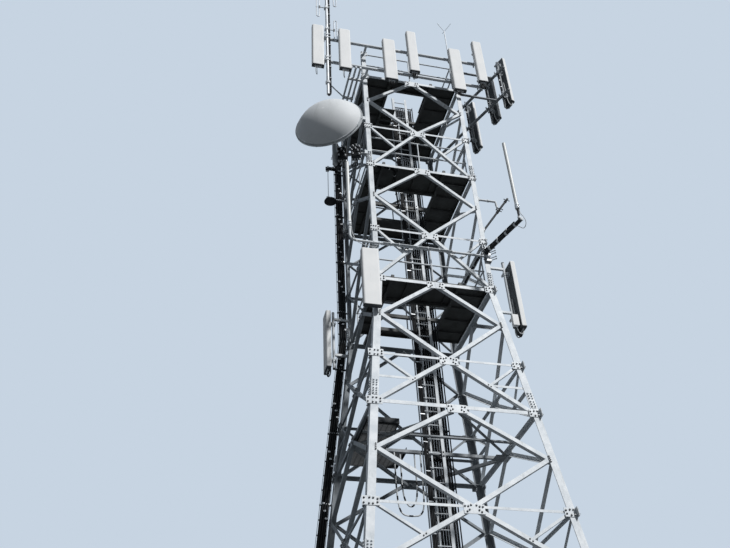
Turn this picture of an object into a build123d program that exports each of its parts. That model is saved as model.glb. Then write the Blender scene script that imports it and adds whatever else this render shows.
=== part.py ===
from build123d import *
from math import atan, atan2, cos, degrees, radians, sin, tan
import os

# Self-supporting lattice tower with four legs, carrying panel antennas, a drum dish,
# whip antennas and feeder cables. Millimetres, +Z up. The origin is the centre of the
# square of base plates, on the level ground. X runs along the front face from the
# front-left leg to the front-right leg and Y runs away from the front face.

# Tower outline
TOP_HALF = 1250.0
KINK_Z = 12000.0
MIDDLE_Z = 15250.0
TOP_Z = 18350.0
LEG_ABOVE = 900.0
LEG_TOP = TOP_Z + LEG_ABOVE
TAPER = 0.104
LEAN = atan(TAPER)
PLATE_T = 30.0
PLATE_SIDE = 520.0
PLATE_IN = 55.0
ANCHOR_SPACING = 340.0
ANCHOR_HOLE_R = 17.0

# Bracing, with the levels inside a bay as shares of its height
LOWER_BAYS = 4
LOWER_ARM = 0.687
LOWER_MIDDLE = 0.355
UPPER_ARM = 0.707
UPPER_MIDDLE = 0.405
FIRST_FOOT = 100.0

# Rolled sections
LEG_W = 140.0
LEG_T = 14.0
TOP_LEG_W = 104.0
TOP_LEG_T = 10.0
MAIN_W = 76.0
MAIN_T = 8.0
TOP_MAIN_W = 64.0
TOP_MAIN_T = 6.0
THIN_W = 48.0
THIN_T = 5.0
END_GAP = 6.0
END_SLANT = 0.35
FOOT_RISE = 0.3

# Gusset plates on the legs and at the middle of each face
GUSSET_T = 10.0
GUSSET_OUT = 85.0
GUSSET_IN = 205.0
TOP_GUSSET_OUT = 40.0
TOP_GUSSET_IN = 150.0
GUSSET_DOWN = 90.0
GUSSET_UP = 70.0
NODE_HALF = 180.0
NODE_DOWN = 130.0
NODE_UP = 40.0

# Platforms and rails
FLOOR_T = 6.0
SKIRT_T = 6.0
SEAT_GAP = 0.1
JOIST_W = 60.0
JOIST_H = 75.0
FLOOR_HALF = TOP_HALF - 86.0
SHORT_BACK = 364.0
RAIL_R = 17.0
RAIL_POST_R = 15.0
RAIL_BALL_R = 28.0
RAIL_START = 20.0
RAIL_IN = 34.0
RAIL_HEIGHTS = [450.0, 880.0]

# Floor openings as x0, x1, y0, y1 and the front edges of the joists across them
WIDE_OPENING = [(-850.0, 500.0, -440.0, 560.0)]
WIDE_JOISTS = [-500.0, 50.0, 560.0]
TOP_OPENINGS = [(-480.0, 450.0, -850.0, -250.0), (-150.0, 480.0, -260.0, 220.0)]
TOP_JOISTS = [-910.0, 50.0, 220.0]

# Beams inside the sloping part
BEAM_Y = 50.0
INNER_W = 60.0
INNER_T = 6.0
BEAM_DROP = 110.0
FRONT_BEAM_Y = -600.0
CORNER_PLATE = 220.0
CORNER_HALF = 130.0

# Landing on the beams below the third bay's top
LANDING_T = 30.0
LANDING_EDGE = 100.0
LANDING_MARGIN = 8.0
LANDING_SIDE = (-870.0, -900.0, 870.0)
LANDING_BACK = (-440.0, 150.0)

# Climbing ladder in front of the beams, cable ladder behind them
LADDER_X = 70.0
LADDER_HALF = 165.0
LADDER_BOTTOM = 350.0
STILE_W = 60.0
STILE_T = 8.0
RUNG_R = 11.0
RUNG_STEP = 300.0
RAIL_DEEP = 50.0
CABLE_X = 205.0
CABLE_HALF = 250.0
CABLE_Y = BEAM_Y + INNER_W
CABLE_TOP = TOP_Z + 750.0
FEEDER_R = 20.0
FEEDERS = 9
FEEDER_STEP = 52.0

# Second cable run, on brackets outside the back-left leg
RUN_R = 16.0
RUN_CABLES = 4
RUN_STEP = 45.0
RUN_OUT = 60.0
RUN_BACK = 32.0
RUN_BAR = 15.0
RUN_GAP = RUN_BAR * TAPER + 0.05
RUN_REACH = 235.0
RUN_Z = (300.0, TOP_Z - 100.0)
RUN_PITCH = 1480.0
RUN_BEND = 3600.0

# Front antenna frame, two level pipes in front of the top platform
FRAME_Z = (TOP_Z - 50.0, TOP_Z + 850.0)
FRAME_Y = -TOP_HALF - 250.0
FRAME_R = 38.0
FRAME_LEFT = -TOP_HALF - 1270.0
FRAME_RIGHT = TOP_HALF + 540.0
STUB_X = TOP_HALF - 65.0
POLE_R = 30.0
POLE_BITE = 4.0
POLE_PAST = 60.0
POLE_SHORT = 150.0
POLE_Y = FRAME_Y - FRAME_R - POLE_R + POLE_BITE
BRACKET_DEEP = 60.0
PANEL_DEEP = 110.0
PANEL_ROUND = 35.0

# Front panels as distance from the frame's left end, or from its right end where that is
# negative, width, and lower and upper end over the lower pipe
FRONT_PANELS = [
    (67.0, 290.0, -510.0, 1050.0),
    (728.0, 290.0, -470.0, 1060.0),
    (1848.0, 318.0, -590.0, 965.0),
    (2459.0, 252.0, -130.0, 1460.0),
    (-741.0, 314.0, -560.0, 1040.0),
    (-84.0, 248.0, -80.0, 1530.0),
]

# Right antenna frame, two level pipes from the back-right leg out past the front
SIDE_ROOT = Vector(TOP_HALF + 60.0, TOP_HALF - 100.0, 0.0)
SIDE_TIP = Vector(TOP_HALF + 1190.0, -TOP_HALF - 330.0, 0.0)
SIDE_ARM_Y = -TOP_HALF + 70.0

# Right panels as distance from the frame's tip, width, lower end, upper end
SIDE_PANELS = [
    (237.0, 290.0, -215.0, 1530.0),
    (737.0, 290.0, -340.0, 1275.0),
    (1519.0, 290.0, -710.0, 1045.0),
]

# Lower panels as pole x, pole y, facing angle, width, ends over the lower platform's
# level, and stand-off from the pole
LOWER_PANELS = {
    "panel_lower_front": (-TOP_HALF - 150.0, -TOP_HALF - 102.0, 0.0, 355.0, -900.0, 500.0, 20.0),
    "panel_lower_right": (TOP_HALF + 350.0, -TOP_HALF + 108.0, 90.0, 360.0, -880.0, 800.0, 60.0),
    "panel_lower_left": (-TOP_HALF - 350.0, TOP_HALF - 105.0, -90.0, 360.0, -750.0, 730.0, 60.0),
}
ARM_HALF = 25.0

# Drum dish, aimed out past the front-left corner
DISH_CENTRE = Vector(-TOP_HALF - 890.0, -TOP_HALF - 90.0, MIDDLE_Z + 980.0)
DISH_ANGLE = 242.0
DISH_TILT = 5.0
DISH_R = 757.0
DISH_SHROUD = 70.0
DISH_DOME = 400.0
DISH_RIM = 36.0
DISH_LIP = 12.0
DISH_LIP_LONG = 26.0
DISH_BACK = 220.0
DISH_HUB = 110.0
DISH_POLE_R = 57.0
DISH_CLAMP = 40.0
DISH_POLE_Z = (MIDDLE_Z + 100.0, MIDDLE_Z + 1750.0)
DISH_ARMS = (MIDDLE_Z + 350.0, MIDDLE_Z + 1500.0)

# Mast with folded dipoles near the left end of the front frame, dipoles as side and
# depth under the mast's top
MAST_X = FRAME_LEFT + 325.0
MAST_R = 35.0
MAST_Y = FRAME_Y - FRAME_R - MAST_R
MAST_TOP = TOP_Z + 5550.0
MAST_FOOT = FRAME_Z[0] - 1100.0
DIPOLES = [(1, 4400.0), (-1, 3500.0), (1, 2950.0), (-1, 2050.0), (1, 1500.0), (-1, 600.0)]
DIPOLE_LONG = 820.0
DIPOLE_WIDE = 70.0
DIPOLE_R = 9.0
DIPOLE_OUT = 150.0

# Whip antenna with three prongs
WHIP_X = TOP_HALF - 265.0
WHIP_TOP = FRAME_Z[1] + 1230.0
WHIP_R = 13.0
PRONG = 290.0
PRONG_R = 6.0

# Booms above the lower platform and the tube antennas on them
BOOM_Z = KINK_Z + 850.0
BOOM_Y = -TOP_HALF - 50.0
BOOM_R = 26.0
BOOM_BEND_X = -TOP_HALF - 497.0
BOOM_BEND_R = 140.0
BOOM_CLAMP = 45.0
STUB_R = 24.0
TUBE_R = 38.0
TUBE_COLLAR = 6.0
TUBE_COLLAR_LONG = 140.0
LEFT_TUBE = (BOOM_Z + 373.0, BOOM_Z + 2265.0)
RIGHT_TUBE = (BOOM_Z + 420.0, BOOM_Z + 2400.0)
RIGHT_BOOM_ROOT = Vector(TOP_HALF - 60.0, BOOM_Y, BOOM_Z + 110.0)
RIGHT_BOOM_TIP = RIGHT_BOOM_ROOT + Vector(336.0, -1080.0, 0.0)
RIGHT_BOOM_R = 42.0
BOOM_PAST = 60.0

# Small arms on the legs
SIDE_ARM_Z = MIDDLE_Z - 640.0
SIDE_ARM_R = 25.0
SIDE_ARM_BEND = 60.0
SIDE_PIPE_R = 22.0
SIDE_PIPE = [(24.0, -923.0), (744.0, 165.0)]
LEFT_ARM_Z = (MIDDLE_Z + 1100.0, MIDDLE_Z + 2150.0)
LEFT_ARM_X = -TOP_HALF - 400.0
LEFT_ARM_Y = TOP_HALF - 90.0
ARM_R = 20.0
PAD = 30.0

# Bracket frame beside the front-left leg that steadies the mast
BRACKET_X = (-TOP_HALF - 140.0, -TOP_HALF - 250.0, -TOP_HALF - 360.0)
BRACKET_Y = (FRAME_Y - 30.0, FRAME_Y + 1020.0)
BRACKET_BAR = 50.0
BRACKET_BAR_W = 40.0
STRUT_Z = FRAME_Z[0] - 900.0
STRUT_R = 16.0

# Loose cables
JUMPER_R = 7.0
LOOP_R = 14.0
BEND_SHARE = 0.45


def half_width(z):
    """Half the tower's width at a height, to the heels of the legs."""
    return TOP_HALF + TAPER * max(0.0, KINK_Z - z)


def solid_from(points, run):
    """Prism on a flat polygon of points, swept straight along a vector."""
    return Solid.extrude(Face(Wire.make_polygon(points, close=True)), run)


def box(x0, x1, y0, y1, z0, z1):
    """Rectangular block between two corners."""
    corners = [Vector(x0, y0, z0), Vector(x1, y0, z0), Vector(x1, y1, z0), Vector(x0, y1, z0)]
    return solid_from(corners, Vector(0, 0, z1 - z0))


def rod(start, end, radius):
    """Round bar or pipe, drawn solid, between two points."""
    start = Vector(*start)
    end = Vector(*end)
    run = end - start
    return Solid.make_cylinder(radius, run.length, Plane(origin=start, z_dir=run))


def cord(points, radius):
    """Loose cable on straight runs joined by tangent arcs as wide as the runs allow."""
    spots = [Vector(*point) for point in points]
    bends = []
    for a, b, c in zip(spots, spots[1:], spots[2:]):
        turn = radians((b - a).get_angle(c - b))
        bends.append(BEND_SHARE * min((b - a).length, (c - b).length) / tan(turn / 2.0))
    print([round(bend) for bend in bends])
    path = FilletPolyline(*spots, radius=bends)
    ring = Plane(origin=spots[0], z_dir=spots[1] - spots[0]) * Circle(radius)
    return sweep(ring, path=path).solids()[0]


def bent_pipe(route, radius, bend):
    """Pipe on straight runs joined by arcs of one radius."""
    path = FilletPolyline(*route, radius=bend)
    ring = Plane(origin=route[0], z_dir=route[1] - route[0]) * Circle(radius)
    return sweep(ring, path=path).solids()[0]


def joined(pieces):
    """One shape fused from all the pieces."""
    first = pieces[0]
    if len(pieces) == 1:
        return first
    return first.fuse(*pieces[1:])


def turned(shape, quarter):
    """Copy of a front-face shape turned about the tower's axis by quarter turns."""
    if quarter == 0:
        return shape
    return shape.rotate(Axis.Z, 90.0 * quarter)


def write(name, shape):
    """Store one node."""
    export_step(shape, "parts/" + name + ".step")


def in_face(s, z, depth, sloped):
    """Point on the front face, a depth behind the outer face of the leg flanges."""
    lean = LEAN if sloped else 0.0
    front = TOP_HALF + TAPER * (KINK_Z - z) if sloped else TOP_HALF
    return Vector(s, -front + depth * cos(lean), z - depth * sin(lean))


def face_normal(sloped):
    """Unit vector into the tower, square to the front face."""
    lean = LEAN if sloped else 0.0
    return Vector(0, cos(lean), -sin(lean))


def angle_bar(start, end, normal, width, thick, edge):
    """Equal angle with one flange flat on the face and the other pointing inwards."""
    run = end - start
    side = normal.cross(run).normalized() * edge
    half = width / 2.0
    outline = [
        (-half, 0.0),
        (half, 0.0),
        (half, width),
        (half - thick, width),
        (half - thick, thick),
        (-half, thick),
    ]
    points = [start + side * a + normal * b for a, b in outline]
    return solid_from(points, run)


def face_plate(s0, s1, z0, z1, depth, thick, sloped):
    """Flat plate lying in the front face."""
    corners = [
        in_face(s0, z0, depth, sloped),
        in_face(s1, z0, depth, sloped),
        in_face(s1, z1, depth, sloped),
        in_face(s0, z1, depth, sloped),
    ]
    return solid_from(corners, face_normal(sloped) * thick)


def bay_levels(bottom, top, arm, middle, foot):
    """Levels of the top, the arms' ends, the middle and the feet of one bay."""
    height = top - bottom
    return (top, bottom + arm * height, bottom + middle * height, bottom + foot)


def lower_bays():
    """Bays between the ground and the lower platform."""
    step = KINK_Z / LOWER_BAYS
    bays = []
    for k in range(LOWER_BAYS):
        foot = PLATE_T + FIRST_FOOT if k == 0 else 0.0
        bays.append(bay_levels(k * step, (k + 1) * step, LOWER_ARM, LOWER_MIDDLE, foot))
    return bays


def upper_bays():
    """Bays between the lower platform and the top platform."""
    return [
        bay_levels(KINK_Z, MIDDLE_Z, UPPER_ARM, UPPER_MIDDLE, FIRST_FOOT),
        bay_levels(MIDDLE_Z, TOP_Z, UPPER_ARM, UPPER_MIDDLE, 0.0),
    ]


def bay(levels, sloped, main, leg_t, tied):
    """Bracing of one bay of the front face, with level ties to the feet if it is tied."""
    top, arm, middle, bottom = levels
    width, thick = main
    thin = (THIN_W, THIN_T)
    normal = face_normal(sloped)
    reach = leg_t + width + END_GAP + width * END_SLANT
    thin_reach = leg_t + width + END_GAP

    def bar(s0, z0, s1, z1, section, edge):
        start = in_face(s0, z0, leg_t, sloped)
        end = in_face(s1, z1, leg_t, sloped)
        return angle_bar(start, end, normal, section[0], section[1], edge)

    arm_s = half_width(arm) - reach
    foot_s = half_width(bottom) - reach
    foot_z = bottom + width * FOOT_RISE
    top_s = half_width(top) - thin_reach
    mid_s = half_width(middle) - thin_reach
    half_z = (middle + foot_z) / 2.0
    bars = [
        bar(-top_s, top, top_s, top, main, -1),
        bar(-mid_s, middle, mid_s, middle, thin, -1),
    ]
    for way in (-1, 1):
        half_s = way * foot_s / 2.0
        bars.append(bar(0, top, way * arm_s, arm, main, way))
        bars.append(bar(0, middle, way * arm_s, arm, main, way))
        bars.append(bar(0, middle, way * foot_s, foot_z, main, way))
        bars.append(bar(half_s, half_z, way * mid_s, middle, thin, way))
        if tied:
            end_s = way * (half_width(half_z) - thin_reach)
            bars.append(bar(half_s, half_z, end_s, half_z, thin, -way))
    depth = leg_t - GUSSET_T
    for z in (middle, top):
        bars.append(face_plate(-NODE_HALF, NODE_HALF, z - NODE_DOWN, z + NODE_UP, depth, GUSSET_T, sloped))
    return bars


def lower_face():
    """Sloping part of the front face, from the ground to the lower platform."""
    bars = []
    bays = lower_bays()
    for levels in bays:
        bars += bay(levels, True, (MAIN_W, MAIN_T), LEG_T * cos(LEAN), levels == bays[-1])
    return joined(bars)


def upper_face():
    """Upright part of the front face, from the lower platform to the top platform."""
    bars = []
    for levels in upper_bays():
        bars += bay(levels, False, (TOP_MAIN_W, TOP_MAIN_T), TOP_LEG_T, False)
    return joined(bars)


def leg_length(z0, z1, width, thick):
    """Straight length of the front-left leg, with its heel on the tower's corner."""
    a = -half_width(z0)
    b = -half_width(z1)
    outline = [(0, 0), (width, 0), (width, thick), (thick, thick), (thick, width), (0, width)]
    points = [Vector(a + x, a + y, z0) for x, y in outline]
    return solid_from(points, Vector(b - a, b - a, z1 - z0))


def leg():
    """Front-left leg with its base plate and the gusset plates on its flanges."""
    pieces = [
        leg_length(PLATE_T, KINK_Z, LEG_W, LEG_T),
        leg_length(KINK_Z, LEG_TOP, TOP_LEG_W, TOP_LEG_T),
    ]
    low = lower_bays()
    for levels in low + upper_bays():
        sloped = levels in low
        for z in (levels[0], levels[2]):
            w = half_width(z)
            z0 = z - GUSSET_DOWN
            z1 = z + GUSSET_UP
            out, inner = (GUSSET_OUT, GUSSET_IN) if sloped else (TOP_GUSSET_OUT, TOP_GUSSET_IN)
            front = face_plate(-w - out, -w + inner, z0, z1, -GUSSET_T, GUSSET_T, sloped)
            side = face_plate(w - inner, w - 1.0, z0, z1, -GUSSET_T, GUSSET_T, sloped)
            pieces.append(front)
            pieces.append(turned(side, -1))
    foot = half_width(PLATE_T) - PLATE_IN
    half = PLATE_SIDE / 2.0
    plate = box(-foot - half, -foot + half, -foot - half, -foot + half, 0.0, PLATE_T)
    for dx in (-0.5, 0.5):
        for dy in (-0.5, 0.5):
            x = -foot + dx * ANCHOR_SPACING
            y = -foot + dy * ANCHOR_SPACING
            plate = plate.cut(rod((x, y, -5), (x, y, PLATE_T + 5), ANCHOR_HOLE_R))
    pieces.append(plate)
    return joined(pieces)


def run_levels():
    """Heights of the brackets that carry the second cable run."""
    z = RUN_Z[0] + RUN_PITCH / 2.0
    levels = []
    while z < RUN_Z[1]:
        levels.append(z)
        z += RUN_PITCH
    return levels


def run_brackets():
    """Short bars out from the back-left leg, behind the second cable run."""
    bars = []
    for z in run_levels():
        w = half_width(z)
        bars.append(box(-w - RUN_REACH, -w + 4.0, w - RUN_BACK, w - 4.0, z - RUN_BAR, z + RUN_BAR))
    return bars


def leg_cables():
    """Second cable run, up the outside of the back-left leg."""
    cables = []
    for k in range(RUN_CABLES):
        points = []
        for z in (RUN_Z[0], KINK_Z, RUN_Z[1]):
            w = half_width(z)
            y = w - RUN_BACK - RUN_GAP - RUN_R / cos(LEAN)
            points.append(Vector(-w - RUN_OUT - k * RUN_STEP, y, z))
        cables.append(bent_pipe(points, RUN_R, RUN_BEND))
    return Compound(children=cables)


def floor_seat(level):
    """Height of the top of the main horizontals' inward flanges at a platform."""
    if level > KINK_Z:
        return level + TOP_MAIN_W / 2.0
    return level + (MAIN_W / 2.0 - LEG_T * sin(LEAN)) * cos(LEAN) + SEAT_GAP


def floor_top(level):
    """Height of the walking surface."""
    return floor_seat(level) + JOIST_H + FLOOR_T


def platform(level, openings, cross, back):
    """Floor plates round the openings, on joists that rest on the main horizontals."""
    seat = floor_seat(level)
    top = seat + JOIST_H
    a = FLOOR_HALF
    floor = box(-a, a, -a, back, top, top + FLOOR_T)
    skirt = box(-a, a, -a, back, seat + 10, top).cut(
        box(-a + SKIRT_T, a - SKIRT_T, -a + SKIRT_T, back - SKIRT_T, seat, top + 5)
    )
    pieces = [floor, skirt]
    inner = TOP_HALF - LEG_T - 1.0
    x0 = min(opening[0] for opening in openings)
    x1 = max(opening[1] for opening in openings)
    for x in (x0 - JOIST_W, x1):
        pieces.append(box(x, x + JOIST_W, -inner, inner, seat, top))
    for y in cross:
        pieces.append(box(x0, x1, y, y + JOIST_W, seat, top))
    whole = joined(pieces)
    for o0, o1, o2, o3 in openings:
        whole = whole.cut(box(o0, o1, o2, o3, top, top + 30))
    return whole


def railing(level, back):
    """Handrail round a platform: two rails on posts, with ball fittings at the corners."""
    ground = floor_top(level)
    a = FLOOR_HALF - RAIL_IN
    b = back - RAIL_IN
    ring = [(-a, -a), (a, -a), (a, b), (-a, b)]
    pieces = []
    for x, y in ring + [(0, -a), (a, 0), (0, b), (-a, 0)]:
        pieces.append(rod((x, y, ground), (x, y, ground + RAIL_HEIGHTS[-1]), RAIL_POST_R))
    for height in RAIL_HEIGHTS:
        for k in range(4):
            start = Vector(*ring[k], ground + height)
            end = Vector(*ring[(k + 1) % 4], ground + height)
            step = (end - start).normalized() * RAIL_START
            pieces.append(rod(start + step, end - step, RAIL_R))
            pieces.append(Solid.make_sphere(RAIL_BALL_R, Plane(origin=start)))
    return joined(pieces)


def inner_space(depth):
    """Space inside the sloping faces, a depth in from the outer face of the legs."""
    w0 = half_width(0.0) - depth / cos(LEAN)
    w1 = half_width(KINK_Z) - depth / cos(LEAN)
    low = Plane.XY * Rectangle(2 * w0, 2 * w0)
    high = Plane.XY.offset(KINK_Z) * Rectangle(2 * w1, 2 * w1)
    return loft([low, high]).solids()[0]


def plan_bracing(level):
    """Two beams across, a diamond between the middles of the faces, and two corner plates."""
    w = half_width(level)
    depth = LEG_T * cos(LEAN) + MAIN_W
    up = Vector(0, 0, 1)
    low = level - BEAM_DROP
    bars = []
    for y, edge in ((BEAM_Y + INNER_W / 2.0, -1), (FRONT_BEAM_Y, 1)):
        bars.append(angle_bar(Vector(-w, y, low), Vector(w, y, low), up, INNER_W, INNER_T, edge))
    for k in range(4):
        start = Vector(0, -w, low)
        end = Vector(w, 0, low)
        bars.append(turned(angle_bar(start, end, up, INNER_W, INNER_T, 1), k))
    inner = w - depth - CORNER_PLATE
    for x0, x1 in ((-w, -inner), (inner, w)):
        bars.append(box(x0, x1, -CORNER_HALF, CORNER_HALF, low - INNER_T, low))
    return joined(bars).intersect(inner_space(depth)).solids()[0]


def landing():
    """Small landing of two strips on the beams below the third bay's top."""
    level = 3.0 * KINK_Z / LOWER_BAYS
    seat = level - BEAM_DROP + INNER_W
    left = -(half_width(level) - LEG_T / cos(LEAN) - MAIN_W - LANDING_MARGIN)
    right, front, back = LANDING_SIDE
    far, near = LANDING_BACK
    strips = [(left, right, front, back), (left, far, near, back)]
    pieces = []
    for x0, x1, y0, y1 in strips:
        pieces.append(box(x0, x1, y0, y1, seat, seat + LANDING_T))
    edges = [
        (left, right, front, front + SKIRT_T),
        (left, left + SKIRT_T, front, back),
        (left, far, back - SKIRT_T, back),
        (far - SKIRT_T, far, near, back),
    ]
    for x0, x1, y0, y1 in edges:
        pieces.append(box(x0, x1, y0, y1, seat, seat + LANDING_EDGE))
    return joined(pieces)


def cable_ladder():
    """Cable ladder up the middle of the tower, behind the beams."""
    pieces = []
    y0 = CABLE_Y
    y1 = CABLE_Y + RAIL_DEEP
    for way in (-1, 1):
        x = CABLE_X + way * CABLE_HALF
        a, b = sorted((x, x - way * STILE_T))
        pieces.append(box(a, b, y0, y1, LADDER_BOTTOM, CABLE_TOP))
    z = LADDER_BOTTOM + 100.0
    while z < CABLE_TOP:
        pieces.append(box(CABLE_X - CABLE_HALF + 4, CABLE_X + CABLE_HALF - 4, y1 - 15.0, y1, z, z + 30.0))
        z += 2.0 * RUNG_STEP
    return joined(pieces)


def feeder_cables():
    """Row of thick feeder cables clipped to the back of the cable ladder."""
    pieces = []
    y = CABLE_Y + RAIL_DEEP + FEEDER_R
    for k in range(FEEDERS):
        x = CABLE_X + (k - (FEEDERS - 1) / 2.0) * FEEDER_STEP
        pieces.append(rod((x, y, LADDER_BOTTOM + 30.0), (x, y, CABLE_TOP - 60.0), FEEDER_R))
    return Compound(children=pieces)


def climbing_ladder():
    """Climbing ladder with angle stiles and round rungs, in front of the beams."""
    pieces = []
    top = LEG_TOP
    for way in (-1, 1):
        x = LADDER_X + way * LADDER_HALF
        half = STILE_W / 2.0
        pieces.append(box(x - half, x + half, 0.0, STILE_T, LADDER_BOTTOM, top))
        a, b = sorted((x + way * half, x + way * (half - STILE_T)))
        pieces.append(box(a, b, 0.0, RAIL_DEEP, LADDER_BOTTOM, top))
    z = LADDER_BOTTOM + RUNG_STEP / 2.0
    while z < top:
        start = (LADDER_X - LADDER_HALF - 25.0, RAIL_DEEP / 2.0, z)
        end = (LADDER_X + LADDER_HALF + 25.0, RAIL_DEEP / 2.0, z)
        pieces.append(rod(start, end, RUNG_R))
        z += RUNG_STEP
    return joined(pieces)


def pole_ends(low, high):
    """Ends of a panel's pole, past both pipes and short of the panel's own ends."""
    foot = min(low + POLE_SHORT, FRAME_Z[0] - POLE_PAST)
    head = max(high - POLE_SHORT, FRAME_Z[1] + POLE_PAST)
    return foot, head


def front_x(distance):
    """Place along the front frame, from its left end or, where negative, its right end."""
    return (FRAME_LEFT if distance > 0 else FRAME_RIGHT) + distance


def front_frame():
    """Two level pipes with stubs to the front legs and an upright pole behind each panel."""
    pieces = []
    for z, root in zip(FRAME_Z, (-TOP_HALF - GUSSET_T, -TOP_HALF)):
        pieces.append(rod((FRAME_LEFT, FRAME_Y, z), (FRAME_RIGHT, FRAME_Y, z), FRAME_R))
        for x in (-STUB_X, STUB_X):
            pieces.append(rod((x, root, z), (x, FRAME_Y, z), POLE_R))
    for distance, width, low, high in FRONT_PANELS:
        x = front_x(distance)
        foot, head = pole_ends(FRAME_Z[0] + low, FRAME_Z[0] + high)
        pieces.append(rod((x, POLE_Y, foot), (x, POLE_Y, head), POLE_R))
    return joined(pieces)


def side_axes():
    """Directions along the right frame and square out from it."""
    along = (SIDE_TIP - SIDE_ROOT).normalized()
    return along, Vector(-along.Y, along.X, 0.0)


def side_pole(distance):
    """Centre of a pole on the right frame, a distance back from its tip."""
    along, out = side_axes()
    return SIDE_TIP - along * distance + out * (FRAME_R + POLE_R - POLE_BITE)


def side_frame():
    """Right antenna frame with a pole for each panel and an arm to the front-right leg."""
    pieces = []
    share = (SIDE_ROOT.Y - SIDE_ARM_Y) / (SIDE_ROOT.Y - SIDE_TIP.Y)
    arm_end = SIDE_ROOT + (SIDE_TIP - SIDE_ROOT) * share
    for z, root in zip(FRAME_Z, (TOP_HALF + GUSSET_T, TOP_HALF)):
        up = Vector(0, 0, z)
        pieces.append(rod(SIDE_ROOT + up, SIDE_TIP + up, FRAME_R))
        pieces.append(rod((root, SIDE_ROOT.Y, z), SIDE_ROOT + up, POLE_R))
        pieces.append(rod((root, SIDE_ARM_Y, z), arm_end + up, POLE_R))
    for distance, width, low, high in SIDE_PANELS:
        spot = side_pole(distance)
        foot, head = pole_ends(FRAME_Z[0] + low, FRAME_Z[0] + high)
        pieces.append(rod(spot + Vector(0, 0, foot), spot + Vector(0, 0, head), POLE_R))
    return joined(pieces)


def panel(pole, angle, width, low, high, gap):
    """Panel antenna held off its pole by two brackets, facing -Y before it is turned."""
    back = -POLE_R - gap
    outline = Rectangle(width, PANEL_DEEP)
    outline = fillet(outline.vertices().group_by(Axis.Y)[0], PANEL_ROUND)
    body = extrude(outline, high - low).solids()[0]
    body = body.moved(Location((0, back - PANEL_DEEP / 2.0, low)))
    pieces = [body]
    tube = rod((0, 0, low), (0, 0, high), POLE_R)
    for z in (low + 260.0, high - 260.0):
        block = box(-45.0, 45.0, back, 10.0, z - 35.0, z + 35.0)
        pieces.append(block.cut(tube))
    whole = joined(pieces)
    return whole.rotate(Axis.Z, angle).moved(Location((pole.X, pole.Y, 0)))


def dish_plane(offset):
    """Plane square to the dish's aim, an offset in front of its rim."""
    turn, tilt = radians(DISH_ANGLE), radians(DISH_TILT)
    aim = Vector(cos(turn) * cos(tilt), sin(turn) * cos(tilt), sin(tilt))
    return Plane(origin=DISH_CENTRE + aim * offset, x_dir=Vector(-aim.Y, aim.X, 0), z_dir=aim)


def dish_radome():
    """Domed cover on the front of the dish's shroud."""
    bulge = (DISH_R * DISH_R + DISH_DOME * DISH_DOME) / (2.0 * DISH_DOME)
    base = DISH_SHROUD
    ball = Solid.make_sphere(bulge, dish_plane(base + DISH_DOME - bulge))
    keep = Solid.make_cylinder(DISH_R, DISH_DOME + 5.0, dish_plane(base))
    return keep.intersect(ball).solids()[0]


def dish_shroud():
    """Drum behind the radome with its two rims, its shallow back and the hub."""
    drum = Solid.make_cylinder(DISH_R, DISH_SHROUD, dish_plane(0.0))
    front = Solid.make_cylinder(DISH_R + DISH_LIP, DISH_LIP_LONG, dish_plane(DISH_SHROUD - DISH_LIP_LONG))
    rear = Solid.make_cylinder(DISH_R + DISH_RIM, DISH_LIP_LONG, dish_plane(0.0))
    back = Solid.make_cone(260.0, DISH_R - 10.0, DISH_BACK, dish_plane(-DISH_BACK))
    hub = Solid.make_cylinder(160.0, DISH_HUB + 10.0, dish_plane(-DISH_BACK - DISH_HUB))
    return joined([drum, front, rear, back, hub])


def dipole_mast():
    """Mast with its folded dipoles, each held off by a short boom."""
    pieces = [rod((MAST_X, MAST_Y, MAST_FOOT), (MAST_X, MAST_Y, MAST_TOP), MAST_R)]
    for way, under in DIPOLES:
        z = MAST_TOP - under
        x = MAST_X + way * (MAST_R + DIPOLE_OUT)
        far = x + way * DIPOLE_WIDE
        half = DIPOLE_LONG / 2.0
        pieces.append(rod((MAST_X, MAST_Y, z), (x, MAST_Y, z), DIPOLE_R + 3.0))
        for px in (x, far):
            pieces.append(rod((px, MAST_Y, z - half), (px, MAST_Y, z + half), DIPOLE_R))
        for pz in (z - half, z + half):
            pieces.append(rod((x, MAST_Y, pz), (far, MAST_Y, pz), DIPOLE_R))
    return joined(pieces)


def dish_mount():
    """Upright pole behind the dish, the block that holds its hub and two arms to the leg."""
    deep = DISH_CLAMP + DISH_POLE_R
    spot = dish_plane(-DISH_BACK - DISH_HUB - deep).origin
    x, y = spot.X, spot.Y
    pieces = [rod((x, y, DISH_POLE_Z[0]), (x, y, DISH_POLE_Z[1]), DISH_POLE_R)]
    block = Rectangle(180.0, 240.0)
    pieces.append(extrude(dish_plane(-DISH_BACK - DISH_HUB - deep) * block, deep).solids()[0])
    leg_y = -TOP_HALF + TOP_LEG_W / 2.0
    for z in DISH_ARMS:
        pieces.append(rod((-TOP_HALF - PAD, leg_y, z), (x, y, z), POLE_R))
        pieces.append(box(-TOP_HALF - 2 * PAD, -TOP_HALF, leg_y - 50, leg_y + 50, z - 50, z + 50))
    return joined(pieces)


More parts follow.
